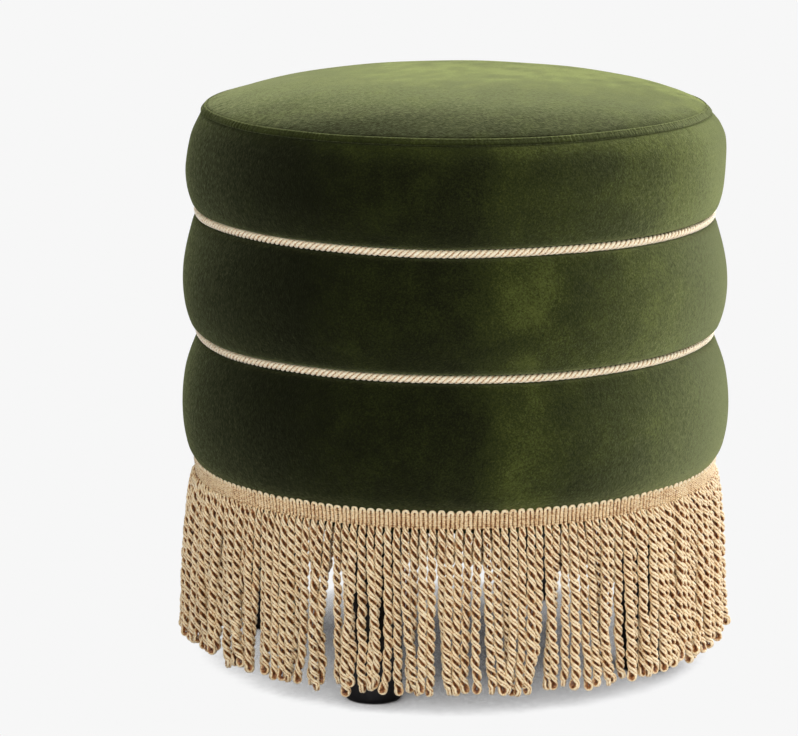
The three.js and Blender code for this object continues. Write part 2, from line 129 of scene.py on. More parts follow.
plywood_edge_stripe = add_node(birch_plywood, "Math", {
    0: plywood_stripe, 1: plywood_edge}, operation="MULTIPLY")
plywood_tone = add_node(birch_plywood, "Math", {
    0: plywood_edge_stripe, 1: ply_stripe_share, 2: plywood_grain}, operation="MULTIPLY_ADD")
plywood_colour = add_node(birch_plywood, "ValToRGB", {"Fac": plywood_tone}, stops=(
    (0.2, "#a67f4e"), (0.5, "#c9a878"), (0.8, "#dcc197")))
plywood_relief = add_node(birch_plywood, "Bump", {
    "Height": plywood_grain, "Strength": 0.25, "Distance": 0.0002})
plywood_surface = add_node(birch_plywood, "BsdfPrincipled", {
    "Base Color": plywood_colour, "Roughness": 0.72, "IOR": 1.5, "Normal": plywood_relief})
add_node(birch_plywood, "OutputMaterial", {"Surface": plywood_surface})
dress(birch_plywood, "base_board", "top_board", "lower_crease_ring", "upper_crease_ring")

# Posts: six planed pine bars, screwed upright between the two boards.
# The creases' rings are let over them, so they carry the whole weight.
post_count = 6

# Planed pine: smooth and pale, with darker lines of grain that run up the post.
planed_pine = start_material("planed_pine")
pine_ring_width = 9
pine_grain_length = 160
pine_place = add_node(planed_pine, "TexCoord")
pine_stretch = add_node(planed_pine, "Mapping", {
    "Vector": pine_place.outputs["Object"],
    "Scale": [per_metre(pine_ring_width)] * 2 + [per_metre(pine_grain_length)]})
pine_grain = add_node(planed_pine, "TexWave", {
    "Vector": pine_stretch, "Scale": 0.9, "Distortion": 3.0, "Detail": 3.0, "Detail Scale": 1.4})
pine_colour = add_node(planed_pine, "ValToRGB", {"Fac": pine_grain.outputs["Fac"]}, stops=(
    (0.1, "#e2c796"), (0.75, "#d4b27c"), (1.0, "#b5854c")))
pine_relief = add_node(planed_pine, "Bump", {
    "Height": pine_grain.outputs["Fac"], "Strength": 0.2, "Distance": 0.0002})
pine_surface = add_node(planed_pine, "BsdfPrincipled", {
    "Base Color": pine_colour, "Roughness": 0.65, "IOR": 1.5, "Normal": pine_relief})
add_node(planed_pine, "OutputMaterial", {"Surface": pine_surface})
dress(planed_pine, *[f"post_{post + 1}" for post in range(post_count)])

# Walls: bent hardboard, pressed wood fibre, tacked round between the boards and the rings.
# They close the frame's side and back the foam. Pressed dark fibres give the face its fine mottle.
pressed_hardboard = start_material("pressed_hardboard")
hardboard_fibre_size = 1.6
hardboard_place = add_node(pressed_hardboard, "TexCoord")
hardboard_fibre = add_node(pressed_hardboard, "TexNoise", {
    "Vector": hardboard_place.outputs["Object"], "Scale": per_metre(hardboard_fibre_size), "Detail": 5.0,
    "Roughness": 0.7})
hardboard_colour = add_node(pressed_hardboard, "ValToRGB", {"Fac": hardboard_fibre}, stops=(
    (0.3, "#563a22"), (0.55, "#6b4a2e"), (0.75, "#84603f")))
hardboard_relief = add_node(pressed_hardboard, "Bump", {
    "Height": hardboard_fibre, "Strength": 0.3, "Distance": 0.0002})
hardboard_surface = add_node(pressed_hardboard, "BsdfPrincipled", {
    "Base Color": hardboard_colour, "Roughness": 0.6, "IOR": 1.5, "Normal": hardboard_relief})
add_node(pressed_hardboard, "OutputMaterial", {"Surface": hardboard_surface})
dress(pressed_hardboard, "lower_wall", "middle_wall", "upper_wall")

# Screws, hanger bolts and tee nuts: steel, zinc plated in a barrel, which leaves a fine crystalline grey.
# The screws hold the posts, and each bolt joins a leg to the tee nut in the base board.
leg_names = ("front", "right", "back", "left")

# Zinc plating: the crystals are far finer than 0.8 mm, and are drawn that coarse so that they show.
zinc_plated_steel = start_material("zinc_plated_steel")
zinc_crystal_size = 0.8
zinc_place = add_node(zinc_plated_steel, "TexCoord")
zinc_crystals = add_node(zinc_plated_steel, "TexVoronoi", {
    "Vector": zinc_place.outputs["Object"], "Scale": per_metre(zinc_crystal_size)})
zinc_colour = add_node(zinc_plated_steel, "ValToRGB", {"Fac": zinc_crystals}, stops=(
    (0.0, "#b4b6b8"), (0.7, "#9c9ea0")))
zinc_roughness = add_node(zinc_plated_steel, "MapRange", {
    "Value": zinc_crystals, "To Min": 0.32, "To Max": 0.48})
zinc_surface = add_node(zinc_plated_steel, "BsdfPrincipled", {
    "Base Color": zinc_colour, "Metallic": 1.0, "Roughness": zinc_roughness})
add_node(zinc_plated_steel, "OutputMaterial", {"Surface": zinc_surface})
for post in range(post_count):
    dress(zinc_plated_steel, f"base_screw_{post + 1}", f"top_screw_{post + 1}")
for name in leg_names:
    dress(zinc_plated_steel, f"hanger_bolt_{name}", f"tee_nut_{name}")

# Foam: cut polyurethane foam, glued round the walls in three bands and laid on the top board.
# Its open cells leave a matt, pitted face.
cut_foam = start_material("cut_polyurethane_foam")
foam_cell_size = 0.9
foam_place = add_node(cut_foam, "TexCoord")
foam_cells = add_node(cut_foam, "TexVoronoi", {
    "Vector": foam_place.outputs["Object"], "Scale": per_metre(foam_cell_size)})
foam_colour = add_node(cut_foam, "ValToRGB", {"Fac": foam_cells}, stops=(
    (0.0, "#cbbd98"), (0.6, "#ece3ca")))
foam_relief = add_node(cut_foam, "Bump", {
    "Height": foam_cells, "Strength": 0.6, "Distance": 0.0004})
foam_surface = add_node(cut_foam, "BsdfPrincipled", {
    "Base Color": foam_colour, "Roughness": 0.95, "Normal": foam_relief})
add_node(cut_foam, "OutputMaterial", {"Surface": foam_surface})
dress(cut_foam, "lower_foam_band", "middle_foam_band", "upper_foam_band", "seat_foam")

# Bands: three strips of short-pile cotton velvet, drawn tight over foam and stapled in at the creases.
# The foam swells each strip out between its edges, and the drawn-in cloth gathers a little beside them.
upper_crease = 335.3
lower_crease = 245.4
drum_round = 2 * math.pi * 200
band_segments = 640
velvet_thickness = 1.0
outline_step = 2.2
back_step = 14.0
upper_band_outline = (
    (187.4, 335.7), (188.1, 337.6), (190.0, 338.6), (192.3, 339.1), (194.0, 340.4), (195.6, 342.9),
    (197.8, 349.5), (199.2, 357.0), (199.9, 367.0), (199.4, 378.0), (198.4, 387.0), (196.9, 394.3),
    (193.6, 402.0), (190.9, 406.6), (189.3, 409.2), (188.4, 410.2), (187.0, 410.7), (185.5, 411.8))
middle_band_outline = (
    (187.4, 245.8), (188.1, 247.7), (190.2, 248.7), (192.9, 249.3), (195.0, 250.5), (196.9, 253.0),
    (199.1, 259.0), (201.0, 266.6), (202.2, 276.0), (202.5, 285.0), (201.9, 295.0), (200.5, 304.0),
    (198.8, 311.7), (196.8, 319.2), (194.8, 326.0), (193.3, 330.0), (191.9, 331.5), (190.0, 332.0),
    (188.1, 333.0), (187.4, 334.9))
lower_band_outline = (
    (165.4, 134.5), (175.0, 134.5), (185.0, 134.5), (190.6, 134.6), (192.0, 135.6), (192.3, 138.0),
    (192.4, 142.0), (192.9, 147.0), (194.3, 151.0), (196.7, 154.0), (199.9, 159.6), (202.0, 167.0),
    (203.7, 177.0), (204.4, 189.0), (204.0, 201.0), (202.7, 212.0), (201.0, 220.2), (198.4, 228.4),
    (195.8, 235.0), (193.9, 239.5), (192.3, 241.4), (190.0, 242.1), (188.1, 243.1), (187.4, 245.0))

# How far a crease strays, and how far the upper one drops at the right.
crease_stray = 0.35
crease_stray_widths = (120, 420)
upper_crease_drop = 1.1

# How the seat's end of the cover was pulled on. Heights and sizes are in millimetres, and turns are degrees
# round from the front.
pull_radius = 186
pull_heights = (380, 411)
pull_turns = (36, 140)
shift_right = 2.7
shift_heights = (360, 398)
shift_lost_at_left = 0.5
shift_lost_turns = (60, 95)
shift_lost_at_rim = 0.7
shift_lost_heights = (402, 415)
pull_in = 0.5
pull_down = 3.0
pull_down_at_right = 1.4

# Gathers beside the creases, and the slow swell of the stuffing. The cloth's edges are held where they are.
gather_depth = 0.15
gather_depth_at_right = 0.06
gather_reach = 7.0
gather_widths = (7, 26)
held_edge = 8.0
swell_depth = 0.22
swell_widths = (90, 260)

# Where the velvet's colour is drawn paler or darker. It is paler over the front right, most at one turn and
# in a streak, and in soft patches that differ at random. Painted shade darkens the left, and on the upper
# band painted light pales its top and its right side. A patch of four turns comes in over the first two and
# goes over the last two.
paler_patch_turns = (0, 14, 50, 66)
paler_patch_strength = 0.55
brightest_turn = 43
brightest_width = 9
brightest_strength = 0.3
streak_turn = 13
streak_width = 7
painted_shade_turns = (-80, -64, -40, -20)
painted_shade_strength = 0.5
painted_rim_light_shares = (0.78, 0.95)
painted_rim_light_strength = 0.45
painted_right_light_turns = (40, 62, 112, 140)
painted_right_light_strength = 0.9
patch_unevenness = 0.15
cloud_strength = 0.05
cloud_widths = (25, 110)

# The pile of the bands leans sideways, to the right, and hands have left it a little uneven.
nap_lean = 0.2
nap_unevenness = 0.12
nap_mark_widths = (60, 220)


def full_turn(count, first=0):
    """That many angles once round, an even step apart, from the front or from some steps on."""
    return (np.arange(count) + first) * 2 * math.pi / count


def degrees_from_front(angle):
    """Angles in degrees, below nought to the left of the front and above it to the right."""
    return np.degrees((angle + math.pi) % (2 * math.pi) - math.pi)


def curve_between(a, b, c, d, share):
    """A smooth curve from b to c, which the points before and after them, a and d, steer."""
    bend = (2 * a - 5 * b + 4 * c - d) * share**2 + (3 * b - a - 3 * c + d) * share**3
    return b + ((c - a) * share + bend) / 2


def smooth_line(points, step):
    """A smooth line through points, as points an even step apart."""
    points = np.array(points, float)
    ends = np.vstack([2 * points[0] - points[1], points, 2 * points[-1] - points[-2]])
    share = np.linspace(0, 1, 24, endpoint=False)[:, None]
    line = [curve_between(*four, share) for four in zip(ends, ends[1:], ends[2:], ends[3:])]
    line = np.vstack([*line, points[-1:]])
    travel = np.concatenate([[0], np.cumsum(np.linalg.norm(np.diff(line, axis=0), axis=1))])
    stops = np.linspace(0, travel[-1], round(travel[-1] / step) + 1)
    return np.stack([np.interp(stops, travel, line[:, k]) for k in range(line.shape[1])], axis=-1)


def ripples(angle, shortest, longest, seed):
    """Uneven waves round the drum, from shortest to longest in millimetres, with a mean square of one."""
    dice = np.random.default_rng(seed)
    turns = np.arange(math.ceil(drum_round / longest), math.floor(drum_round / shortest) + 1)
    sizes = dice.normal(size=len(turns))
    phases = dice.uniform(0, 2 * math.pi, len(turns))
    waves = (sizes[:, None] * np.cos(turns[:, None] * angle + phases[:, None])).sum(axis=0)
    return waves / math.sqrt((sizes**2).sum() / 2)


def clouds(points, shortest, longest, seed):
    """Soft uneven patches over points, from shortest to longest in millimetres, with a mean square of one."""
    dice = np.random.default_rng(seed)
    wave_count = 40
    headings = dice.normal(size=(wave_count, 3))
    headings /= np.linalg.norm(headings, axis=1, keepdims=True)
    lengths = dice.uniform(shortest, longest, wave_count)
    phases = dice.uniform(0, 2 * math.pi, wave_count)
    waves = np.cos(points @ (headings.T * 2 * math.pi / lengths) + phases)
    return waves.sum(axis=-1) * math.sqrt(2 / wave_count)


def round_points(radius, height, angle):
    """Points round the tuffet's axis. Angle 0 is the front, and positive angles turn to the right."""
    height = height + np.zeros_like(radius * angle)
    return np.stack([radius * np.sin(angle), -radius * np.cos(angle), height], axis=-1)


def ring_faces(rows, around, closed, count=1):
    """Faces between rows of points that each go once round, for that many tubes of them in turn. A tube that
    isn't closed from its last row to its first is capped at both."""
    row = np.arange(rows if closed else rows - 1)[:, None]
    place = np.arange(around)[None, :]
    beside = (place + 1) % around
    above = (row + 1) % rows
    corners = [row * around + place, row * around + beside, above * around + beside, above * around + place]
    starts = np.arange(count) * rows * around
    faces = (np.stack(corners, axis=-1).reshape(-1, 4) + starts[:, None, None]).reshape(-1, 4).tolist()
    if not closed:
        for start in starts:
            faces.append((np.arange(around)[::-1] + start).tolist())
            faces.append((np.arange(around) + (rows - 1) * around + start).tolist())
    return faces


def add_piece(name, points, faces, material, replaced):
    """Adds a smooth piece in place of CAD nodes. Its points are in millimetres."""
    mesh = bpy.data.meshes.new(name)
    mesh.from_pydata((np.asarray(points).reshape(-1, 3) / 1000).tolist(), [], faces)
    mesh.shade_smooth()
    mesh.materials.append(material)
    piece = bpy.data.objects.new(name, mesh)
    bpy.context.scene.collection.objects.link(piece)
    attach(piece, "root")
    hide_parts(*replaced)
    return piece


def crease_lift(angle, crease):
    """How far a crease strays from its level, since it was drawn in by hand."""
    stray = crease_stray * ripples(angle, *crease_stray_widths, seed=round(crease))
    return stray - upper_crease_drop * np.sin(angle) if crease == upper_crease else stray


def between(low, high, values):
    """Rises smoothly from 0 at low to 1 at high."""
    share = np.clip((values - low) / (high - low), 0, 1)
    return share * share * (3 - 2 * share)


def patch_over(turns, values):
    """Rises from 0 to 1 over the first two turns, and falls back over the last two."""
    start, full, fading, end = turns
    return between(start, full, values) * between(end, fading, values)


def settle(points):
    """Shifts the seat's end of the cover the way it was pulled on: rightward, and inward and down behind."""
    x, y, height = (points[..., k] for k in range(3))
    radius = np.hypot(x, y)
    turn = np.degrees(np.arctan2(x, -y))
    near_rim = np.clip(radius / pull_radius, 0, 1)**2 * between(*pull_heights, height)
    behind = between(*pull_turns, np.abs(turn)) * near_rim
    rightward = (shift_right - shift_lost_at_left * between(*shift_lost_turns, -turn)) * (
        between(*shift_heights, height) * (1 - shift_lost_at_rim * between(*shift_lost_heights, height)))
    inward = 1 - pull_in * behind / np.maximum(radius, 1)
    fall = (pull_down + pull_down_at_right * np.sin(np.radians(turn))) * behind
    return np.stack([x * inward + rightward, y * inward, height - fall], axis=-1)


def lay_nap(piece, directions):
    """Stores which way, and how far from upright, the brushed pile leans at each point."""
    piece.data.attributes.new("nap", "FLOAT_VECTOR", "POINT").data.foreach_set("vector", np.ravel(directions))


def mark_tone_and_painted_light(piece, strength):
    """Stores at each point how much paler the velvet's colour is drawn, or below nought how much darker:
    tone that differs at random, painted light and painted shade.
    """
    piece.data.attributes.new("pile_tone_and_painted_light", "FLOAT", "POINT").data.foreach_set("value", np.ravel(strength))


# Velvet: cut cotton pile, dyed olive and brushed, so that it leans. Looked at along its lean the eye goes
# down into dark pile, and against it, or at a low angle, it meets the lit tips. Clumps of pile break the
# colour up, drawn coarser than a real pile of 0.3 mm so that they show.
olive_velvet = start_material("olive_cotton_velvet")
velvet_clump_size = 1.5
velvet_brush_size = 20
velvet_pile_size = 0.7
velvet_ruffle_size = 3.0
velvet_brush_share = 0.6
velvet_tone_and_light_share = 0.68
velvet_pile_share = 0.9
velvet_tone_scale = 0.4
velvet_clump_height = 1.6
velvet_ruffle_lean = 0.76
velvet_place = add_node(olive_velvet, "TexCoord")
velvet_clumps = add_node(olive_velvet, "TexNoise", {
    "Vector": velvet_place.outputs["Object"], "Scale": per_metre(velvet_clump_size), "Detail": 2.0,
    "Roughness": 0.6})
velvet_brushing = add_node(olive_velvet, "TexNoise", {
    "Vector": velvet_place.outputs["Object"], "Scale": per_metre(velvet_brush_size), "Detail": 4.0,
    "Roughness": 0.45, "Distortion": 0.4})
velvet_pile = add_node(olive_velvet, "TexNoise", {
    "Vector": velvet_place.outputs["Object"], "Scale": per_metre(velvet_pile_size), "Detail": 2.0})
velvet_tone = add_node(olive_velvet, "Math", {
    0: velvet_brushing, 1: velvet_brush_share, 2: velvet_clumps}, operation="MULTIPLY_ADD")
# The stored marks draw the colour paler or darker: tone that differs at random, painted light and painted
# shade.
velvet_tone_and_painted_light = add_node(olive_velvet, "Attribute", attribute_name="pile_tone_and_painted_light")
velvet_paler = add_node(olive_velvet, "Math", {
    0: velvet_tone_and_painted_light.outputs["Fac"], 1: velvet_tone_and_light_share, 2: velvet_tone}, operation="MULTIPLY_ADD")
velvet_grain = add_node(olive_velvet, "Math", {
    0: velvet_pile, 1: velvet_pile_share, 2: velvet_paler}, operation="MULTIPLY_ADD")
velvet_share = add_node(olive_velvet, "Math", {
    0: velvet_grain, 1: velvet_tone_scale}, operation="MULTIPLY")
velvet_colour = add_node(olive_velvet, "ValToRGB", {"Fac": velvet_share}, stops=(
    (0.4, "#030400"), (0.5, "#101303"), (0.6, "#1f2409"), (0.68, "#272c0c"), (0.9, "#4e5524"),
    (1.0, "#6b7338")))
velvet_height = add_node(olive_velvet, "Math", {
    0: velvet_clumps, 1: velvet_clump_height, 2: velvet_pile}, operation="MULTIPLY_ADD")
velvet_facing = add_node(olive_velvet, "NewGeometry")
velvet_nap = add_node(olive_velvet, "Attribute", attribute_name="nap")
velvet_ruffle = add_node(olive_velvet, "TexNoise", {
    "Vector": velvet_place.outputs["Object"], "Scale": per_metre(velvet_ruffle_size), "Detail": 4.0,
    "Roughness": 0.68})
velvet_either_way = add_node(olive_velvet, "VectorMath", {
    0: velvet_ruffle.outputs["Color"], 1: (0.5, 0.5, 0.5)}, operation="SUBTRACT")
velvet_lean = add_node(olive_velvet, "VectorMath", {
    0: velvet_facing.outputs["Normal"], 1: velvet_nap.outputs["Vector"]}, operation="ADD")
velvet_ruffled = add_node(olive_velvet, "VectorMath", {
    0: velvet_either_way, 1: [velvet_ruffle_lean] * 3, 2: velvet_lean}, operation="MULTIPLY_ADD")
velvet_upright = add_node(olive_velvet, "VectorMath", {0: velvet_ruffled}, operation="NORMALIZE")
velvet_relief = add_node(olive_velvet, "Bump", {
    "Height": velvet_height, "Strength": 0.5, "Distance": 0.0005, "Normal": velvet_upright})
velvet_surface = add_node(olive_velvet, "BsdfPrincipled", {
    "Base Color": velvet_colour, "Roughness": 0.9, "IOR": 1.35, "Specular IOR Level": 0.05,
    "Normal": velvet_relief, "Sheen Weight": 0.385, "Sheen Roughness": 0.5,
    "Sheen Tint": linear("#f4ffb4")})
add_node(olive_velvet, "OutputMaterial", {"Surface": velvet_surface})


def add_band(name, outline, lower_edge, upper_edge, patch_paleness, streak, seed):
    """A swelled band of velvet: its face from the lower edge up, and its back down again."""
    angle = full_turn(band_segments)
    face = smooth_line(outline, outline_step)
    back = smooth_line(outline, back_step)[::-1] - (velvet_thickness, 0)
    back[0, 1] -= velvet_thickness
    back[-1, 1] += velvet_thickness
    rows = np.vstack([face, back])
    travel = np.arange(len(face)) * outline_step
    from_below = np.concatenate([travel, np.interp(back[:, 1], face[:, 1], travel)])[:, None]
    from_above = travel[-1] - from_below
    share = from_below / travel[-1]
    gathers = (gather_depth + gather_depth_at_right * np.sin(angle)) * (
        np.exp(-from_below / gather_reach) * ripples(angle, *gather_widths, seed) * (lower_edge is not None)
        + np.exp(-from_above / gather_reach) * ripples(angle, *gather_widths, seed + 1))
    lift = np.zeros_like(share * angle)
    if lower_edge is not None:
        lift = lift + (1 - share) * crease_lift(angle, lower_edge)
    if upper_edge is not None:
        lift = lift + share * crease_lift(angle, upper_edge)
    free = np.clip(from_below / held_edge, 0, 1) * np.clip(from_above / held_edge, 0, 1)
    swell = swell_depth * clouds(round_points(rows[:, :1], rows[:, 1:], angle), *swell_widths, seed + 2)
    points = round_points(rows[:, :1] + free * (gathers + swell), rows[:, 1:] + lift, angle)
    if upper_edge is None:
        points = settle(points)
    faces = ring_faces(len(rows), band_segments, closed=True)
    piece = add_piece(name, points, faces, olive_velvet, [f"{name}_cover"])
    sideways = round_points(0.0 * points[..., 0] + 1, 0.0, angle + math.pi / 2)
    hand_marks = 1 + nap_unevenness * clouds(points, *nap_mark_widths, seed + 4)
    lay_nap(piece, nap_lean * hand_marks[..., None] * sideways)
    turn = degrees_from_front(angle)
    patch = paler_patch_strength * patch_over(paler_patch_turns, turn)
    patch += brightest_strength * np.exp(-((turn - brightest_turn) / brightest_width)**2)
    patch += streak * np.exp(-((turn - streak_turn) / streak_width)**2)
    cloudy = clouds(points, *cloud_widths, seed + 6)
    paler = patch_paleness * patch * (1 + patch_unevenness * cloudy) + cloud_strength * cloudy
    # Painted shade darkens the left; on the upper band painted light pales the top and the right side.
    paler = paler - painted_shade_strength * patch_over(painted_shade_turns, turn)
    if upper_edge is None:
        paler = paler + painted_rim_light_strength * between(*painted_rim_light_shares, share)
        paler = paler + painted_right_light_strength * patch_over(painted_right_light_turns, turn)
    mark_tone_and_painted_light(piece, np.clip(paler, -1, 1))


add_band("lower_band", lower_band_outline, None, lower_crease, patch_paleness=0.62, streak=0.85, seed=11)
add_band("middle_band", middle_band_outline, lower_crease, upper_crease, patch_paleness=1.15, streak=0.4, seed=21)
add_band("upper_band", upper_band_outline, upper_crease, None, patch_paleness=0.78, streak=0.05, seed=31)

# Seat panel: a round of the same velvet over the crowned foam and wadding.
# Its rim is sewn down all round to the welt.
seam_radius = 186.2
seam_height = 415.6
crown_rise = 20.0
crown_fullness = 3.6
crown_shift = 10.0
panel_radius = 185.0
panel_cells = 140
panel_dip = 0.8
panel_dip_reach = 2.5
panel_swell = 0.3
panel_swell_widths = (45, 160)
panel_gather_depth = 0.16
panel_gather_widths = (6, 22)
panel_gather_reach = 7.0

# How far back the seat's pile leans: at its middle, then more for each millimetre backward and rightward, but
# not at the front edge, and less for each one leftward. Near the seam the stitches pull it outward.
panel_lean = 0.27
lean_backward = 0.0017
lean_rightward = 0.0005
front_edge_depths = (-150, -110)
lean_leftward = 0.0009
lean_front_left = 0.0024
front_left_depths = (-130, -160)
lean_limits = (-0.32, 0.42)
seam_lean = 0.1
seam_pull_reach = 12

# Where painted light draws its colour paler, towards the back and most at the right, and where painted shade
# darkens it at the front left, as depths from front to back and as places from left to right.
panel_painted_light = 1.6
panel_painted_light_at_right = 0.4
painted_light_depths = (-150, 40)
painted_light_places = (-170, -40)
brightest_light_places = (0, 150)
panel_cloud_strength = 0.2
panel_cloud_widths = (10, 45)
panel_painted_shade = 0.5
painted_shade_depths = (-110, -155)
painted_shade_places = (50, -60)


def crown_height(radius):
    """The seat's face: a crown that drops away a little more just inside its seam."""
    face = seam_height + crown_rise * (1 - (radius / seam_radius) ** crown_fullness)
    return face - panel_dip * np.exp((radius - panel_radius) / panel_dip_reach)


def disc_grid(cells):
    """A square grid of points drawn out to a disc of radius one."""
    line = np.linspace(-1, 1, cells + 1)
    across, along = np.meshgrid(line, line)
    return across * np.sqrt(1 - along**2 / 2), along * np.sqrt(1 - across**2 / 2)


def disc_faces(cells):
    """Faces of an upper disc grid, of the lower one that follows it, and of the rim between them."""
    side = cells + 1
    number = np.arange(side * side).reshape(side, side)
    below = side * side
    corners = [number[:-1, :-1], number[:-1, 1:], number[1:, 1:], number[1:, :-1]]
    quads = np.stack(corners, axis=-1).reshape(-1, 4)
    edge = np.concatenate([number[0, :-1], number[:-1, -1], number[-1, :0:-1], number[:0:-1, 0]])
    after = np.roll(edge, -1)
    rim = np.stack([edge, edge + below, after + below, after], axis=-1)
    return np.vstack([quads, quads[:, ::-1] + below, rim]).tolist()


def crown(x, y, lift):
    """Points of the seat's crown, its top a little right of the middle, raised by a lift."""
    radius = np.hypot(x, y)
    shift = crown_shift * (1 - (radius / seam_radius)**2)
    return settle(np.stack([x + shift, y, crown_height(radius)], axis=-1)) + lift[..., None] * (0, 0, 1)


def add_seat_panel():
    x, y = disc_grid(panel_cells)
    x, y = x * panel_radius, y * panel_radius
    flat = np.stack([x, y, 0 * x], axis=-1)
    radius = np.hypot(x, y)
    rim = np.exp((radius - panel_radius) / panel_gather_reach)
    angle = np.arctan2(x, -y).ravel()
    gathers = ripples(angle, *panel_gather_widths, seed=42).reshape(x.shape)
    swell = clouds(flat, *panel_swell_widths, seed=41)
    relief = panel_swell * swell * (1 - rim) + panel_gather_depth * gathers * rim * (1 - rim) * 4
    points = np.stack([crown(x, y, relief), crown(x, y, 0 * x - velvet_thickness)])
    piece = add_piece("seat_cushion", points, disc_faces(panel_cells), olive_velvet, ["seat_panel"])
    seam_pull = np.exp((radius - panel_radius) / seam_pull_reach)[..., None]
    rightward = lean_rightward * np.clip(x, 0, None) * between(*front_edge_depths, y)
    leftward = np.clip(-x, 0, None) * (lean_leftward + lean_front_left * between(*front_left_depths, y))
    backward = panel_lean + lean_backward * y + rightward - leftward
    nap = np.clip(backward, *lean_limits)[..., None] * (0, 1, 0) * (1 - seam_pull)
    nap = nap + seam_lean * flat / np.maximum(radius, 1)[..., None] * seam_pull
    lay_nap(piece, np.stack([nap, nap]))
    # Painted light pales the back and the right, and painted shade darkens the front left.
    paler = panel_painted_light + panel_painted_light_at_right * between(*brightest_light_places, x)
    paler = paler * between(*painted_light_depths, y) * between(*painted_light_places, x)
    paler = paler + panel_cloud_strength * clouds(flat, *panel_cloud_widths, seed=43)
    paler = paler - panel_painted_shade * between(*painted_shade_depths, y) * between(*painted_shade_places, x)
    mark_tone_and_painted_light(piece, np.stack([paler, paler]))


add_seat_panel()

# Wadding: carded polyester fibre, a soft layer between the seat's foam and the velvet, pressed thin over the
# middle and thicker towards the rim. Its crimped fibres show as faint tufts on white.
wadding_radius = 182.6
foam_rim_radius = 186.6
foam_rim_height = 408.05
foam_rise = 25.0
wadding_gap = 0.2
carded_wadding = start_material("carded_polyester_wadding")
wadding_tuft_size = 2.5
wadding_place = add_node(carded_wadding, "TexCoord")
wadding_fibres = add_node(carded_wadding, "TexNoise", {
    "Vector": wadding_place.outputs["Object"], "Scale": per_metre(wadding_tuft_size), "Detail": 8.0,
    "Distortion": 2.5})
wadding_colour = add_node(carded_wadding, "ValToRGB", {"Fac": wadding_fibres}, stops=(
    (0.3, "#e2dfd6"), (0.7, "#faf9f5")))
wadding_relief = add_node(carded_wadding, "Bump", {
    "Height": wadding_fibres, "Strength": 0.5, "Distance": 0.001})
wadding_surface = add_node(carded_wadding, "BsdfPrincipled", {
    "Base Color": wadding_colour, "Roughness": 1.0, "Normal": wadding_relief})
add_node(carded_wadding, "OutputMaterial", {"Surface": wadding_surface})


def add_wadding():
    x, y = disc_grid(panel_cells)
    top = crown(x * wadding_radius, y * wadding_radius, 0 * x - velvet_thickness - wadding_gap)
    bottom = top.copy()
    bottom[..., 2] = foam_rim_height + foam_rise * (1 - (top[..., :2]**2).sum(axis=-1) / foam_rim_radius**2)
    points = np.stack([top, bottom])
    piece = add_piece("wadding_layer", points, disc_faces(panel_cells), carded_wadding,
                      ["seat_wadding"])


add_wadding()

# Welt: the seam allowances turned down and topstitched, which leaves a narrow raised strip of velvet
# round the rim. Easing the round panel into it leaves short pleats.
welt_segments = 1900
welt_outline = (
    (187.0, 411.4), (188.3, 411.0), (188.9, 411.6), (188.6, 412.6), (187.6, 413.8), (186.5, 414.8),
    (186.0, 415.6), (185.4, 416.0), (184.8, 415.6), (184.6, 414.4))
welt_back = (184.7, 412.5)
welt_face_step = 0.75
welt_back_step = 1.5
pleat_widths = (2.4, 7)
pleat_limit = 1.6
pleat_depth = 0.11
pleat_depth_spread = 0.04
pleat_depth_widths = (60, 300)
welt_stray = 0.15
welt_stray_widths = (80, 400)
welt_ridge_heights = (414.6, 415.6)
welt_ridge_lean = 0.45
welt_foot_highlight_heights = (411.2, 412.2)
welt_foot_painted_highlight = 0.45


def add_seat_welt():
    angle = full_turn(welt_segments)
    face = smooth_line(welt_outline, welt_face_step)
    back = smooth_line([welt_outline[-1], welt_back, welt_outline[0]], welt_back_step)[1:-1]
    rows = np.vstack([face, back])
    height = rows[:, 1:]
    on_face = np.concatenate([np.sin(np.linspace(0, math.pi, len(face))), np.zeros(len(back))])[:, None]
    pleats = np.clip(ripples(angle, *pleat_widths, seed=51), -pleat_limit, pleat_limit)
    strength = pleat_depth + pleat_depth_spread * ripples(angle, *pleat_depth_widths, seed=52)
    stray = welt_stray * ripples(angle, *welt_stray_widths, seed=53)
    points = settle(round_points(rows[:, :1] + on_face * pleats * strength, height + stray, angle))
    faces = ring_faces(len(rows), welt_segments, closed=True)
    piece = add_piece("seat_rim_welt", points, faces, olive_velvet, ["seat_welt"])
    ridge = between(*welt_ridge_heights, height) + 0 * points[..., 0]
    sideways = round_points(nap_lean * (1 - ridge), 0.0, angle + math.pi / 2)
    lay_nap(piece, sideways - round_points(welt_ridge_lean * ridge, 0.0, angle))
    # Painted highlight: the colour is drawn paler along the ridge and, less, along the foot.
    mark_tone_and_painted_light(piece, np.maximum(ridge, welt_foot_painted_highlight * between(*welt_foot_highlight_heights, height)))


add_seat_welt()

# Crease cords: three plies of viscose yarn laid up right-handed, 6 mm thick, sewn into the two creases.
# Each goes once round and its ends are butted and hidden.
cord_centre_radius = 190.6
cord_rise = 0.35
cord_ply_radius = 1.42
cord_ply_offset = 1.6
cord_turns = 89
cord_rings_per_turn = 14
cord_sides = 9
cord_swell = 0.03
cord_swell_widths = (9, 60)
cord_yarn_twist = 5.0
cord_painted_shade_rise = 1.25
cord_painted_shade_start = 0.12
ply_count = 3


def add_yarn_ridges(material, yarns_per_ply):
    """Ridges that wind round a ply, one for each yarn, from the lay that is stored on its face corners."""
    lay = add_node(material, "Attribute", attribute_name="lay")
    turn = add_node(material, "SeparateXYZ", {"Vector": lay.outputs["Vector"]})
    angle = add_node(material, "Math", {
        0: turn.outputs["Y"], 1: 2 * math.pi * yarns_per_ply, 2: turn.outputs["X"]}, operation="MULTIPLY_ADD")
    return add_node(material, "Math", {0: angle}, operation="SINE")
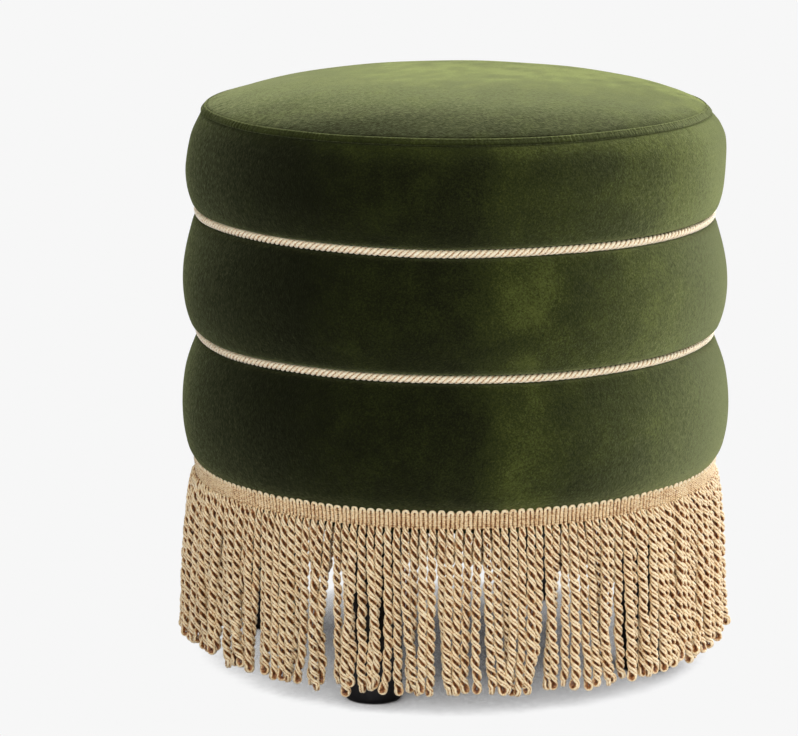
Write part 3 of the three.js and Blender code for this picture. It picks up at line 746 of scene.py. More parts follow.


# Viscose yarn: bright spun filament, dyed cream, with a silky gloss along the yarns. The yarns are drawn as
# ridges 1 mm apart, coarser than real ones of 0.4 mm so that they show. Painted shade darkens the colour
# between the ridges and, down to brown, in the grooves between the plies.
cream_viscose = start_material("cream_viscose_cord")
cord_yarns_per_ply = 9
cord_fluff_size = 1.2
cord_ridge_painted_shade_share = 0.08
cord_painted_shade_share = -0.6
cord_yarn_ridge = add_yarn_ridges(cream_viscose, cord_yarns_per_ply)
cord_place = add_node(cream_viscose, "TexCoord")
cord_fluff = add_node(cream_viscose, "TexNoise", {
    "Vector": cord_place.outputs["Object"], "Scale": per_metre(cord_fluff_size), "Detail": 4.0})
cord_painted_shade = add_node(cream_viscose, "Attribute", attribute_name="painted_groove_shade")
cord_ridge_tone = add_node(cream_viscose, "Math", {
    0: cord_yarn_ridge, 1: cord_ridge_painted_shade_share, 2: cord_fluff}, operation="MULTIPLY_ADD")
cord_tone = add_node(cream_viscose, "Math", {
    0: cord_painted_shade.outputs["Fac"], 1: cord_painted_shade_share, 2: cord_ridge_tone}, operation="MULTIPLY_ADD")
cord_colour = add_node(cream_viscose, "ValToRGB", {"Fac": cord_tone}, stops=(
    (0.0, "#6c4022"), (0.2, "#cf9e6c"), (0.4, "#ffedc6"), (0.75, "#fffadf")))
cord_relief = add_node(cream_viscose, "Bump", {
    "Height": cord_yarn_ridge, "Strength": 0.5, "Distance": 0.0001})
cord_surface = add_node(cream_viscose, "BsdfPrincipled", {
    "Base Color": cord_colour, "Roughness": 0.42, "IOR": 1.5, "Normal": cord_relief,
    "Sheen Weight": 0.15, "Sheen Roughness": 0.4})
add_node(cream_viscose, "OutputMaterial", {"Surface": cord_surface})


def unit(vectors):
    return vectors / np.linalg.norm(vectors, axis=-1, keepdims=True)


def wrap_section(line, outward, section, closed):
    """Sweeps a section along lines of points. A section's points are (out from the axis, across the ply)."""
    if closed:
        ahead = np.roll(line, -1, axis=-2) - np.roll(line, 1, axis=-2)
    else:
        ahead = np.gradient(line, axis=-2)
    ahead = unit(ahead)
    outward = unit(outward - (outward * ahead).sum(axis=-1, keepdims=True) * ahead)
    across = np.cross(ahead, outward)
    depth, width = section[..., :1], section[..., 1:]
    return line[..., None, :] + outward[..., None, :] * depth + across[..., None, :] * width


def mark_lay(piece, rings, sides, tubes, yarn_twist, ring_step):
    """Stores on each face corner its place along its ply, as an angle of twist, and its turn round it."""
    ring = np.arange(rings)[:, None, None] + (0, 0, 1, 1)
    turn = np.arange(sides)[None, :, None] + (0, 1, 1, 0)
    along = np.broadcast_to(ring * ring_step * 2 * math.pi / yarn_twist, (rings, sides, 4))
    around = np.broadcast_to(turn / sides, (rings, sides, 4))
    lay = np.stack([along, around, np.zeros_like(along)], axis=-1).reshape(-1, 3)
    values = np.zeros((len(piece.data.loops), 3))
    values[:tubes * len(lay)] = np.tile(lay, (tubes, 1))
    piece.data.attributes.new("lay", "FLOAT_VECTOR", "CORNER").data.foreach_set("vector", values.ravel())


def mark_painted_shade(piece, depth):
    """Stores on each point how much painted shade darkens it, from 0 to 1, by how deep in a groove it lies.
    """
    piece.data.attributes.new("painted_groove_shade", "FLOAT", "POINT").data.foreach_set("value", np.ravel(depth))


def add_crease_cord(name, crease, node):
    rings = cord_turns * cord_rings_per_turn
    angle = full_turn(rings)
    lift = crease + cord_rise + crease_lift(angle, crease)
    offset = cord_ply_offset * (1 + cord_swell * ripples(angle, *cord_swell_widths, seed=61))
    turn = full_turn(cord_sides)
    section = cord_ply_radius * np.stack([np.cos(turn), np.sin(turn)], axis=-1)
    axis = round_points(np.full(rings, cord_centre_radius), lift, angle)
    tubes = []
    for ply in range(ply_count):
        wind = cord_turns * angle + ply * 2 * math.pi / ply_count
        line = round_points(cord_centre_radius + offset * np.cos(wind), lift + offset * np.sin(wind), angle)
        tubes.append(wrap_section(line, line - axis, section, closed=True))
    faces = ring_faces(rings, cord_sides, closed=True, count=ply_count)
    piece = add_piece(name, np.stack(tubes), faces, cream_viscose, [node])
    ring_step = 2 * math.pi * cord_centre_radius / rings
    mark_lay(piece, rings, cord_sides, ply_count, cord_yarn_twist, ring_step)
    # Painted shade on the side of each ply that turns in towards the others.
    depth = np.clip(cord_painted_shade_rise * (0.5 - 0.5 * np.cos(turn)) - cord_painted_shade_start, 0, 1)
    mark_painted_shade(piece, np.broadcast_to(depth, (ply_count, rings, cord_sides)))


add_crease_cord("lower_crease_cord", lower_crease, "lower_cord")
add_crease_cord("upper_crease_cord", upper_crease, "upper_cord")

# Fringe header: the fringe's cords go up and over in loops, side by side, and fine binding threads
# hold them to a tape. It is sewn to the foot of the lower band. A shade is how much painted shade darkens
# yarn, by how deep in a groove it lies.
loop_count = 192
header_foot = 138.8
header_head = 152.6
header_lean = 1.6
header_lean_height = 13.4
leg_half_width = 1.12
leg_half_depth = 0.85
leg_rings = 6
loop_half_width = 1.6
loop_arc_rings = 7
loop_sides = 8
loop_width_spread = 0.12
loop_drop_spread = 0.25
loop_lean_spread = 0.22
loop_yarn_twist = 3.0
loop_ring_step = 2.0
loop_shade = 0.3
loop_side_shade = 0.42
bound_shade = 0.15
bound_rises = (11.5, 9.5)
tape_radius = 192.75
tape_to_cords = 0.9


def header_radius(height):
    """Where the middle of the header's cords lies: the header leans out with the band behind it."""
    share = np.clip((height - header_foot) / header_lean_height, 0, 1)
    return tape_radius + tape_to_cords + header_lean * share**2


# Fringe yarn: the same viscose in light brown, its yarns drawn coarser in the same way. Light that has gone
# down between them comes back browner, and this is painted: painted shade deepens the colour to brown in the
# grooves and between the yarn ridges.
brown_viscose = start_material("light_brown_viscose_fringe")
fringe_yarns_per_ply = 14
fringe_fluff_size = 1.5
fringe_dye_size = 14
fringe_dye_share = 0.25
fringe_ridge_painted_shade_share = 0.07
fringe_painted_shade_share = -0.6
fringe_yarn_ridge = add_yarn_ridges(brown_viscose, fringe_yarns_per_ply)
fringe_painted_shade = add_node(brown_viscose, "Attribute", attribute_name="painted_groove_shade")
fringe_place = add_node(brown_viscose, "TexCoord")
fringe_fluff = add_node(brown_viscose, "TexNoise", {
    "Vector": fringe_place.outputs["Object"], "Scale": per_metre(fringe_fluff_size), "Detail": 4.0})
fringe_dye = add_node(brown_viscose, "TexNoise", {
    "Vector": fringe_place.outputs["Object"], "Scale": per_metre(fringe_dye_size), "Detail": 1.0})
fringe_cloud = add_node(brown_viscose, "Math", {
    0: fringe_dye, 1: fringe_dye_share, 2: fringe_fluff}, operation="MULTIPLY_ADD")
fringe_ridge_tone = add_node(brown_viscose, "Math", {
    0: fringe_yarn_ridge, 1: fringe_ridge_painted_shade_share, 2: fringe_cloud}, operation="MULTIPLY_ADD")
fringe_tone = add_node(brown_viscose, "Math", {
    0: fringe_painted_shade.outputs["Fac"], 1: fringe_painted_shade_share, 2: fringe_ridge_tone}, operation="MULTIPLY_ADD")
fringe_colour = add_node(brown_viscose, "ValToRGB", {"Fac": fringe_tone}, stops=(
    (0.0, "#5a2e13"), (0.3, "#b0753f"), (0.5, "#f9dca8"), (0.8, "#fff1cf")))
fringe_relief = add_node(brown_viscose, "Bump", {
    "Height": fringe_yarn_ridge, "Strength": 0.35, "Distance": 0.0001})
fringe_surface = add_node(brown_viscose, "BsdfPrincipled", {
    "Base Color": fringe_colour, "Roughness": 0.38, "IOR": 1.5, "Normal": fringe_relief,
    "Sheen Weight": 0.04, "Sheen Roughness": 0.4})
add_node(brown_viscose, "OutputMaterial", {"Surface": fringe_surface})


def add_header_loops():
    dice = np.random.default_rng(71)
    leg_height = header_head - leg_half_width - loop_half_width - header_foot
    up = np.linspace(0, 1, leg_rings)
    arc = np.linspace(0, math.pi, loop_arc_rings + 2)[1:-1]
    across = np.concatenate([np.full(leg_rings, -1.0), -np.cos(arc), np.full(leg_rings, 1.0)])
    bow = leg_height + np.sin(arc) * loop_half_width
    rise = np.concatenate([up * leg_height, bow, up[::-1] * leg_height])
    width = loop_half_width + dice.normal(0, loop_width_spread, (loop_count, 1))
    drop = dice.normal(0, loop_drop_spread, (loop_count, 1)) * (rise / leg_height)
    lean = dice.normal(0, loop_lean_spread, (loop_count, 1)) * (rise / leg_height)
    height = header_foot + rise + drop
    angle = full_turn(loop_count, first=0.5)[:, None] + (across * width + lean) / tape_radius
    line = round_points(header_radius(height), height, angle)
    outward = round_points(np.ones_like(angle), 0.0, angle)
    turn = full_turn(loop_sides)
    section = np.stack([leg_half_depth * np.cos(turn), leg_half_width * np.sin(turn)], axis=-1)
    points = wrap_section(line, outward, section, closed=False)
    rings = line.shape[1]
    faces = ring_faces(rings, loop_sides, closed=False, count=loop_count)
    piece = add_piece("header_loops", points, faces, brown_viscose, ["fringe_header"])
    mark_lay(piece, rings - 1, loop_sides, loop_count, loop_yarn_twist, loop_ring_step)
    # Painted shade on the inner side of each loop, and a little where the bindings hold the legs.
    bound = between(*bound_rises, rise)[:, None]
    depth = np.maximum(loop_shade - loop_side_shade * np.cos(turn), bound_shade * bound)
    mark_painted_shade(piece, np.broadcast_to(depth, (loop_count, rings, loop_sides)))


binding_rows = 7
binding_rises = (0.6, 9.9)
binding_rings_per_leg = 4
binding_sides = 6
binding_half_thickness = 0.5
binding_flatness = 1.15
binding_set_in = 0.5
binding_wave = 0.85
binding_height_spread = 0.06
binding_stray = 0.1
binding_stray_widths = (5, 60)
binding_yarn_twist = 2.0
binding_ring_step = 0.6
binding_dip_shade = 0.7
binding_side_shade = 0.2


def add_header_bindings():
    """Binding threads: each runs round over every leg of the loops and dips between them."""
    dice = np.random.default_rng(72)
    legs = 2 * loop_count
    rings = legs * binding_rings_per_leg
    angle = full_turn(rings)
    turn = full_turn(binding_sides)
    section = binding_half_thickness * np.stack([np.cos(turn), binding_flatness * np.sin(turn)], axis=-1)
    over = np.cos(legs * angle + math.pi)
    outward = round_points(np.ones_like(angle), 0.0, angle)
    tubes = []
    for height in header_foot + np.linspace(*binding_rises, binding_rows):
        stray = binding_stray * ripples(angle, *binding_stray_widths, seed=int(height * 10))
        stray = dice.normal(0, binding_height_spread) + stray
        radius = header_radius(height) + leg_half_depth - binding_set_in + binding_wave * over
        line = round_points(radius, height + stray, angle)
        tubes.append(wrap_section(line, outward, section, closed=True))
    faces = ring_faces(rings, binding_sides, closed=True, count=binding_rows)
    piece = add_piece("header_bindings", np.stack(tubes), faces, brown_viscose, ["fringe_header"])
    mark_lay(piece, rings, binding_sides, binding_rows, binding_yarn_twist, binding_ring_step)
    # Painted shade where a thread dips in between the legs, and a little on its upper and lower sides.
    dip = binding_dip_shade * (0.5 - 0.5 * over[:, None])**1.3
    depth = np.maximum(dip, binding_side_shade * np.abs(np.sin(turn))**3)
    mark_painted_shade(piece, np.broadcast_to(depth, (binding_rows, rings, binding_sides)))


tape_rows = 8
tape_below_foot = 1.2
tape_below_head = 2.4
tape_thickness = 0.25
tape_gap = 0.05
tape_yarn_twist = 2.0
tape_ring_step = 1.0
tape_shade = 0.9


def add_header_tape():
    """The woven tape behind the loops, drawn dark nearly all over with painted shade."""
    angle = full_turn(band_segments)
    heights = np.linspace(header_foot - tape_below_foot, header_head - tape_below_head, tape_rows)
    outer = header_radius(heights) - leg_half_depth - tape_gap
    inner = outer - tape_thickness
    rows = np.vstack([np.stack([outer, heights], axis=-1), np.stack([inner, heights], axis=-1)[::-1]])
    points = round_points(rows[:, :1], rows[:, 1:], angle)
    faces = ring_faces(len(rows), band_segments, closed=True)
    piece = add_piece("header_tape", points, faces, brown_viscose, ["fringe_header"])
    mark_lay(piece, len(rows), band_segments, 1, tape_yarn_twist, tape_ring_step)
    mark_painted_shade(piece, np.full(len(rows) * band_segments, tape_shade))


add_header_loops()
add_header_bindings()
add_header_tape()

# Bullion fringe: each strand is one cord of viscose yarn, twisted hard, folded double and let twist back
# on itself, so it hangs as two plies with a closed loop at its free end.
strand_count = 192
strand_levels = 9
strand_top = 139.4
strand_end = 23.2
strand_width = 5.7
strand_rings = 72
strand_loop_rings = 9
ply_offset = 1.95
ply_lead = 16.0
strand_quarters = ("front_right", "back_right", "back_left", "front_left")

# Section of a ply, each point as (out from the strand's axis, across the ply): two yarns lie side by side
# on its outside, and the yarns inside it reach in to the axis.
ply_section = np.array((
    (0.52, 0.0), (0.98, 0.56), (0.76, 1.26), (0.05, 1.57), (-0.6, 0.95), (-1.9, 0.36),
    (-1.9, -0.36), (-0.6, -0.95), (0.05, -1.57), (0.76, -1.26), (0.98, -0.56)))
# How much painted shade darkens each point of the section: most on the inside of the ply, which faces the
# other ply, and some in the groove between its two yarns.
ply_painted_shade = np.array((0.6, 0.0, 0.0, 0.2, 0.7, 1.0, 1.0, 0.7, 0.2, 0.0, 0.0))
strand_yarn_twist = 4.0
strand_ring_step = 1.7
twist_opening = 0.16
twist_opening_share = 0.45

# How far strands bunch, lean and sway, in millimetres at the free end, with turns in degrees round from the
# front. They bunch more at the sides and hang straighter behind.
strand_bunching = 2.7
side_bunching = 1.6
side_turns = (25, 50)
bunch_widths = (18, 75)
straighter_behind = 0.7
behind_turns = (95, 130)
strand_lean = 3.7
strand_sway = 2.1
sway_bends = (0.8, 2.2)
depth_spread = 2.5
depth_stray = 0.2
depth_limits = (-5.0, 2.6)

# How strands push each other aside: in rounds of small moves, each a share of what is needed.
push_rounds = 160
push_share = 0.25
push_neighbours = (1, 2, 3)
least_distance = 0.2
flare_widening = 0.04
settling_share = 0.02
straightening_share = 0.12

# How each strand wavers, and how its free end, its twist and its thickness differ from the next one's.
kink_turns = (3.2, 6.5)
kink_across = 0.5
kink_out = 0.4
end_across_spread = 2.0
end_out_spread = 1.0
end_height_spread = 1.7
short_strand_rise = 3.5
usual_strand_share = 0.93
longer_behind = 7.0
behind_cosines = (-0.2, -0.8)
flare_falls = (0, 6, 16, 60, 120)
flare_sizes = (1.7, 3.3, 4.4, 6.3, 8.4)
flare_more_at_left = 1.6
lead_spread = 0.06
uneven_twist = 0.5
girth_spread = 0.06
girth_at_header = 0.45
girth_growth_fall = 9
stoutness_spread = 0.04
free_loop_bulge = 0.5
free_loop_length = 1.9


def strand_growth(share):
    """How much stouter a strand is than at the header: the twist opens a little further down."""
    return 1 + twist_opening * between(0, twist_opening_share, share)


def hang_strands():
    """Where each strand's axis runs, as (across, out) at levels from the header down.
    Strands sway and lean as they please, and then push each other aside where their axes come too close."""
    dice = np.random.default_rng(83)
    each = (strand_count, 1)
    share = np.linspace(0, 1, strand_levels)
    growth = strand_growth(share)
    round_length = 2 * math.pi * tape_radius
    angle = full_turn(strand_count, first=0.5)[:, None]
    turn = np.abs(degrees_from_front(angle))
    loose = 1 - straighter_behind * between(*behind_turns, turn)
    waves = ripples(angle[:, 0], *bunch_widths, seed=86)[:, None]
    bunching = (strand_bunching + side_bunching * between(*side_turns, turn)) * loose * waves * share**0.9
    lean = strand_lean * loose * dice.normal(size=each) * share**1.2
    sway = dice.normal(0, strand_sway, each)
    sway = sway * np.sin(share * math.pi * dice.uniform(*sway_bends, each))
    across = angle * tape_radius + bunching + lean + sway
    out = dice.normal(0, depth_spread, each) * share**0.5
    out = out + depth_stray * dice.normal(size=across.shape) * share
    rest = out.copy()
    widening = (1 + flare_widening * share) / growth
    for _ in range(push_rounds):
        for gap in push_neighbours:
            apart = np.roll(across, -gap, axis=0) - across
            apart[-gap:] += round_length
            deep = np.roll(out, -gap, axis=0) - out
            distance = np.maximum(np.hypot(apart * widening, deep / growth), least_distance)
            push = np.clip(strand_width - distance, 0, None) * push_share * (share > 0)
            move_across, move_out = push * apart / distance, push * deep / distance
            across += np.roll(move_across, gap, axis=0) - move_across
            out += np.roll(move_out, gap, axis=0) - move_out
        out += settling_share * (rest - out)
        for values in (across, out):
            bend = values[:, :-2] + values[:, 2:] - 2 * values[:, 1:-1]
            values[:, 1:-1] += straightening_share * bend
    return across, np.clip(out, *depth_limits)


def even_curve(values, count):
    """Smooth curves through the rows' values, as that many even steps."""
    ends = np.hstack([2 * values[:, :1] - values[:, 1:2], values, 2 * values[:, -1:] - values[:, -2:-1]])
    place = np.linspace(0, values.shape[1] - 1, count)
    cell = np.minimum(place.astype(int), values.shape[1] - 2)
    return curve_between(*(ends[:, cell + k] for k in range(4)), place - cell)


def strand_lines():
    """The line of each strand's ply, down one side and up the other, and the way out from the axis."""
    dice = np.random.default_rng(84)
    each = (strand_count, 1)
    across, out = (even_curve(values, strand_rings) for values in hang_strands())
    share = np.linspace(0, 1, strand_rings)
    kinks = dice.uniform(*kink_turns, each) * share * 2 * math.pi
    across = across + kink_across * share**0.3 * np.cos(kinks + dice.uniform(0, 2 * math.pi, each))
    out = out + kink_out * share**0.3 * np.cos(kinks + dice.uniform(0, 2 * math.pi, each))
    across = across + dice.normal(0, end_across_spread, each) * share**7
    out = out + np.abs(dice.normal(0, end_out_spread, each)) * share**7
    end = strand_end + dice.normal(0, end_height_spread, each)
    end += short_strand_rise * (dice.uniform(size=each) > usual_strand_share)
    end -= longer_behind * between(*behind_cosines, np.cos(across[:, :1] / tape_radius))
    height = strand_top + (end - strand_top) * share
    fall = strand_top - height
    angle = across / tape_radius
    flare = np.interp(fall, flare_falls, flare_sizes) - flare_more_at_left * np.sin(angle) * share**0.5
    axis = round_points(tape_radius + flare + out, height, angle)
    down = unit(np.gradient(axis, axis=1))
    front = round_points(np.ones_like(across), 0.0, angle)
    front = unit(front - (front * down).sum(axis=-1, keepdims=True) * down)
    right = np.cross(front, down)
    lead = ply_lead * (1 + dice.normal(0, lead_spread, each))
    tightening = uneven_twist * dice.normal(0, 1.0, each) * np.sin(share * math.pi * 2)
    wind = dice.uniform(0, 2 * math.pi, each) + 2 * math.pi * fall / lead + tightening
    girth = ply_offset * (1 + dice.normal(0, girth_spread, each))
    girth = girth * np.clip(girth_at_header + fall / girth_growth_fall, girth_at_header, 1)
    girth = (girth * strand_growth(share))[..., None]
    away = np.cos(wind)[..., None] * front + np.sin(wind)[..., None] * right
    bend = (np.arange(strand_loop_rings) + 1) * math.pi / (strand_loop_rings + 1)
    side, deep = np.cos(bend)[:, None], np.sin(bend)[:, None]
    sideways, onward = away[:, -1:] * side, down[:, -1:] * deep
    loop = sideways * (1 + free_loop_bulge * deep) + onward * free_loop_length
    loop = axis[:, -1:] + girth[:, -1:] * loop
    line = np.concatenate([axis + girth * away, loop, (axis - girth * away)[:, ::-1]], axis=1)
    outward = np.concatenate([away, sideways + onward, -away[:, ::-1]], axis=1)
    return line, outward


def add_strands():
    line, outward = strand_lines()
    sides = len(ply_section)
    rings = line.shape[1]
    growth = strand_growth(np.linspace(0, 1, strand_rings))
    growth = np.concatenate([growth, np.full(strand_loop_rings, growth[-1]), growth[::-1]])
    dice = np.random.default_rng(85)
    stout = 1 + dice.normal(0, stoutness_spread, (strand_count, 1, 1, 1))
    points = wrap_section(line, outward, ply_section * stout * growth[:, None, None], closed=False)
    per_quarter = strand_count // len(strand_quarters)
    faces = ring_faces(rings, sides, closed=False, count=per_quarter)
    for quarter, name in enumerate(strand_quarters):
        own = points[quarter * per_quarter:(quarter + 1) * per_quarter]
        piece = add_piece(f"bullion_{name}", own, faces, brown_viscose, [f"fringe_strands_{name}"])
        mark_lay(piece, rings - 1, sides, per_quarter, strand_yarn_twist, strand_ring_step)
        mark_painted_shade(piece, np.broadcast_to(ply_painted_shade, (per_quarter, rings, sides)))


add_strands()

# Dust cover: black non-woven cloth, a round stapled flat under the base over the velvet's turned hem.
# It has a hole for each hanger bolt.
cloth_radius = 182.9
cloth_bottom = 133.4
cloth_thickness = 0.6
cloth_cells = 60
cloth_sag = 0.06
cloth_sag_reach = 9
cloth_flat_rim = 20
bolt_hole_radius = 4.6
leg_pattern_radius = 153.6
first_leg_angle = -math.radians(22.6)

# Non-woven cloth: pressed polypropylene fibres, matt black, with a fine pattern of welded points. The fibres
# are drawn in clumps of about 1 mm, since single ones are too fine to show.
black_dust_cloth = start_material("black_nonwoven_cloth")
cloth_fibre_size = 1.1
cloth_weld_spacing = 2.0
cloth_place = add_node(black_dust_cloth, "TexCoord")
cloth_fibres = add_node(black_dust_cloth, "TexNoise", {
    "Vector": cloth_place.outputs["Object"], "Scale": per_metre(cloth_fibre_size), "Detail": 6.0,
    "Distortion": 1.5})
cloth_welds = add_node(black_dust_cloth, "TexVoronoi", {
    "Vector": cloth_place.outputs["Object"], "Scale": per_metre(cloth_weld_spacing), "Randomness": 0.1})
cloth_colour = add_node(black_dust_cloth, "ValToRGB", {"Fac": cloth_fibres}, stops=(
    (0.3, "#141414"), (0.7, "#232323")))
cloth_relief = add_node(black_dust_cloth, "Bump", {
    "Height": cloth_welds, "Strength": 0.4, "Distance": 0.0002})
cloth_surface = add_node(black_dust_cloth, "BsdfPrincipled", {
    "Base Color": cloth_colour, "Roughness": 0.9, "Normal": cloth_relief})
add_node(black_dust_cloth, "OutputMaterial", {"Surface": cloth_surface})


def leg_places():
    """Each leg's name and place on the floor."""
    for i, name in enumerate(leg_names):
        angle = first_leg_angle + i * 2 * math.pi / len(leg_names)
        yield name, leg_pattern_radius * math.sin(angle), -leg_pattern_radius * math.cos(angle)


def add_dust_cloth():
    x, y = disc_grid(cloth_cells)
    x, y = x * cloth_radius, y * cloth_radius
    for _, leg_x, leg_y in leg_places():
        away_x, away_y = x - leg_x, y - leg_y
        distance = np.hypot(away_x, away_y)
        drawn_out = (bolt_hole_radius + distance * (1 - 1 / 3)) / np.maximum(distance, 0.01)
        spread = np.where(distance < 3 * bolt_hole_radius, drawn_out, 1)
        x, y = leg_x + away_x * spread, leg_y + away_y * spread
    radius = np.hypot(x, y)
    sag = cloth_sag * np.sin(radius / cloth_sag_reach) * (radius < cloth_radius - cloth_flat_rim)
    top = np.stack([x, y, cloth_bottom + cloth_thickness + 0 * sag], axis=-1)
    bottom = np.stack([x, y, cloth_bottom + sag], axis=-1)
    points = np.stack([top, bottom])
    piece = add_piece("dust_cloth", points, disc_faces(cloth_cells), black_dust_cloth,
                      ["dust_cover"])


add_dust_cloth()

# Legs: beech, turned to a plain cylinder with a rounded foot, and lacquered satin black.
# Each screws up under the base on its hanger bolt, and a plastic glide is let into its foot.
leg_segments = 64
leg_outline = (
    (15.3, 3.3), (15.3, 1.2), (15.7, 0.8), (18.8, 0.8), (19.6, 0.9), (20.2, 1.4), (20.6, 2.1), (20.8, 3.2),
    (20.8, 6.0), (20.7, 67.0), (20.7, 130.6), (20.5, 131.6), (19.8, 132.5), (18.8, 133.0),
    (5.0, 133.0), (4.4, 132.8), (4.3, 132.0), (4.3, 92.7))
glide_outline = ((13.6, 0.0), (14.6, 0.3), (15.0, 1.0), (15.0, 2.7), (14.7, 3.0))

# Black lacquer over beech: a satin film that still shows a trace of the pores along the leg. They are drawn
# wider than real ones of 0.1 mm so that they show.
satin_black_lacquer = start_material("satin_black_lacquer")
lacquer_pore_width = 1.2
lacquer_pore_length = 18
lacquer_place = add_node(satin_black_lacquer, "TexCoord")
lacquer_stretch = add_node(satin_black_lacquer, "Mapping", {
    "Vector": lacquer_place.outputs["Object"],
    "Scale": [per_metre(lacquer_pore_width)] * 2 + [per_metre(lacquer_pore_length)]})
lacquer_pores = add_node(satin_black_lacquer, "TexNoise", {
    "Vector": lacquer_stretch, "Scale": 1.0, "Detail": 3.0})
lacquer_colour = add_node(satin_black_lacquer, "ValToRGB", {"Fac": lacquer_pores}, stops=(
    (0.3, "#060505"), (0.7, "#0c0b0b")))
lacquer_gloss = add_node(satin_black_lacquer, "MapRange", {
    "Value": lacquer_pores, "To Min": 0.26, "To Max": 0.4})
lacquer_relief = add_node(satin_black_lacquer, "Bump", {
    "Height": lacquer_pores, "Strength": 0.08, "Distance": 0.0002})
lacquer_surface = add_node(satin_black_lacquer, "BsdfPrincipled", {
    "Base Color": lacquer_colour, "Roughness": lacquer_gloss, "IOR": 1.5, "Normal": lacquer_relief})
add_node(satin_black_lacquer, "OutputMaterial", {"Surface": lacquer_surface})

# Moulded polyethylene: a waxy black plastic with the mould's fine matt texture, which is drawn coarser than a
# real one of 0.1 mm so that it shows.
black_polyethylene = start_material("moulded_black_polyethylene")
glide_texture_size = 0.7
glide_place = add_node(black_polyethylene, "TexCoord")
glide_texture = add_node(black_polyethylene, "TexNoise", {
    "Vector": glide_place.outputs["Object"], "Scale": per_metre(glide_texture_size), "Detail": 2.0})
glide_colour = add_node(black_polyethylene, "ValToRGB", {"Fac": glide_texture}, stops=(
    (0.3, "#1a1a1a"), (0.7, "#262626")))
glide_relief = add_node(black_polyethylene, "Bump", {
    "Height": glide_texture, "Strength": 0.2, "Distance": 0.0001})
glide_surface = add_node(black_polyethylene, "BsdfPrincipled", {
    "Base Color": glide_colour, "Roughness": 0.55, "IOR": 1.51, "Normal": glide_relief})
add_node(black_polyethylene, "OutputMaterial", {"Surface": glide_surface})


def add_turned(name, outline, x, y, material, node):
    """A piece turned about its own upright axis, closed flat at both ends."""
    outline = np.array(outline)
    points = round_points(outline[:, :1], outline[:, 1:], full_turn(leg_segments)) + (x, y, 0)
    faces = ring_faces(len(outline), leg_segments, closed=False)
    add_piece(name, points, faces, material, [node])


for leg_name, leg_x, leg_y in leg_places():
    add_turned(f"turned_leg_{leg_name}", leg_outline, leg_x, leg_y,
               satin_black_lacquer, f"leg_{leg_name}")
    add_turned(f"round_glide_{leg_name}", glide_outline, leg_x, leg_y,
               black_polyethylene, f"glide_{leg_name}")

# Studio: a white paper floor that runs back to the horizon, under five broad soft lamps. The strongest
# stands behind on the right, so that its light grazes the velvet, and the weaker ones fill in.
floor_half = 12.0
floor_mesh = bpy.data.meshes.new("studio_floor")
floor_mesh.from_pydata([(-floor_half, -floor_half, 0), (floor_half, -floor_half, 0),
                        (floor_half, floor_half, 0), (-floor_half, floor_half, 0)], [], [(0, 1, 2, 3)])
studio_floor = bpy.data.objects.new("studio_floor", floor_mesh)
bpy.context.scene.collection.objects.link(studio_floor)

# White paper: in the open it is as bright to the eye as the backdrop. Under and close round the tuffet,
# where little of the sky above it is left, it takes the tuffet's shadow, and a painted shadow darkens its
# colour there as well. Painted light from behind reaches in under the back, so the shadow deepens towards the
# front.
backdrop_white = "#f7f7f7"
white_paper = start_material("white_paper_floor")
sky_reach = 0.3
painted_back_light_depths = (0.04, 0.2)
painted_back_light_share = 0.06
open_sky_shares = (0.07, 0.25)
paper_seen = add_node(white_paper, "LightPath")
paper_near = add_node(white_paper, "AmbientOcclusion", {"Distance": sky_reach}, samples=16)
paper_place = add_node(white_paper, "TexCoord")
paper_along = add_node(white_paper, "SeparateXYZ", {"Vector": paper_place.outputs["Object"]})
# Painted light from behind, which grows towards the back.
paper_painted_back_light = add_node(white_paper, "MapRange", {
    "Value": paper_along.outputs["Y"], "From Min": painted_back_light_depths[0], "From Max": painted_back_light_depths[1],
    "To Max": painted_back_light_share})
paper_sky_and_painted_light = add_node(white_paper, "Math", {
    0: paper_near.outputs["AO"], 1: paper_painted_back_light}, operation="ADD")
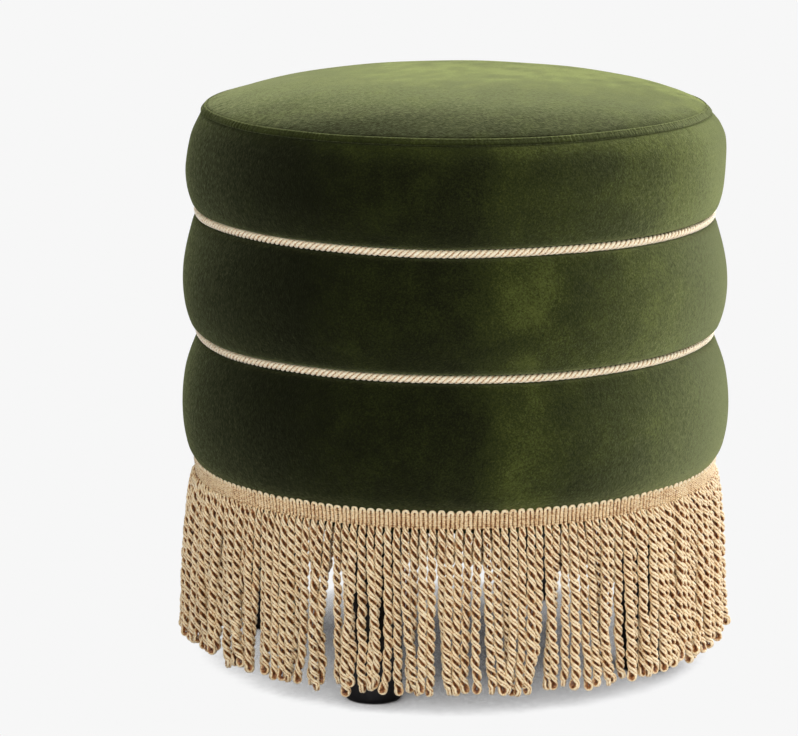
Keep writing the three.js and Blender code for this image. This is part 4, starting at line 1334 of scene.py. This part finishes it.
# Painted shadow: the paper's colour darkens where less of the sky is left.
paper_painted_shadow = add_node(white_paper, "ValToRGB", {"Fac": paper_sky_and_painted_light}, stops=(
    (0.04, "#584f4d"), (0.2, "#dcdce6")))
paper_body = add_node(white_paper, "BsdfDiffuse", {"Color": paper_painted_shadow})
paper_open = add_node(white_paper, "MapRange", {
    "Value": paper_sky_and_painted_light, "From Min": open_sky_shares[0], "From Max": open_sky_shares[1]})
paper_bright = add_node(white_paper, "Math", {
    0: paper_open, 1: paper_seen.outputs["Is Camera Ray"]}, operation="MULTIPLY")
paper_glow = add_node(white_paper, "Emission", {"Color": linear(backdrop_white), "Strength": 1.0})
paper_surface = add_node(white_paper, "MixShader", {
    0: paper_bright, 1: paper_body, 2: paper_glow})
add_node(white_paper, "OutputMaterial", {"Surface": paper_surface})
floor_mesh.materials.append(white_paper)

# The backdrop is seen by the eye and faintly in reflections, and gives the tuffet no other light.
glossy_backdrop_share = 0.2
studio_world = bpy.data.worlds.new("studio_world")
studio_world.use_nodes = True
studio_world.node_tree.nodes.clear()
backdrop_seen = add_node(studio_world, "LightPath")
backdrop_to_eye = add_node(studio_world, "Math", {
    0: backdrop_seen.outputs["Is Camera Ray"], 1: backdrop_seen.outputs["Is Transmission Ray"]},
    operation="MAXIMUM")
backdrop_glossy = add_node(studio_world, "Math", {
    0: backdrop_seen.outputs["Is Glossy Ray"], 1: glossy_backdrop_share, 2: backdrop_to_eye},
    operation="MULTIPLY_ADD")
backdrop_light = add_node(studio_world, "Background", {
    "Color": linear(backdrop_white), "Strength": backdrop_glossy})
add_node(studio_world, "OutputWorld", {"Surface": backdrop_light})
bpy.context.scene.world = studio_world

# Lamps: each stands far off, but is as wide to the eye as a softbox close by.
lamp_width = math.radians(60)


def add_lamp(name, turn, rise, strength):
    """Adds a lamp. Its turn is from the front to the right and its rise from level, both in degrees."""
    lamp_data = bpy.data.lights.new(name, "SUN")
    lamp_data.energy = strength * math.pi
    lamp_data.angle = lamp_width
    lamp = bpy.data.objects.new(name, lamp_data)
    turn, rise = math.radians(turn), math.radians(rise)
    towards = Vector((math.sin(turn) * math.cos(rise), -math.cos(turn) * math.cos(rise), math.sin(rise)))
    lamp.rotation_euler = towards.to_track_quat("Z", "Y").to_euler()
    bpy.context.scene.collection.objects.link(lamp)


add_lamp("right_softbox", turn=90, rise=30, strength=0.43)
add_lamp("back_right_softbox", turn=135, rise=30, strength=0.98)
add_lamp("front_softbox", turn=0, rise=30, strength=0.495)
add_lamp("front_left_softbox", turn=-45, rise=30, strength=0.13)
add_lamp("back_softbox", turn=180, rise=35, strength=0.28)
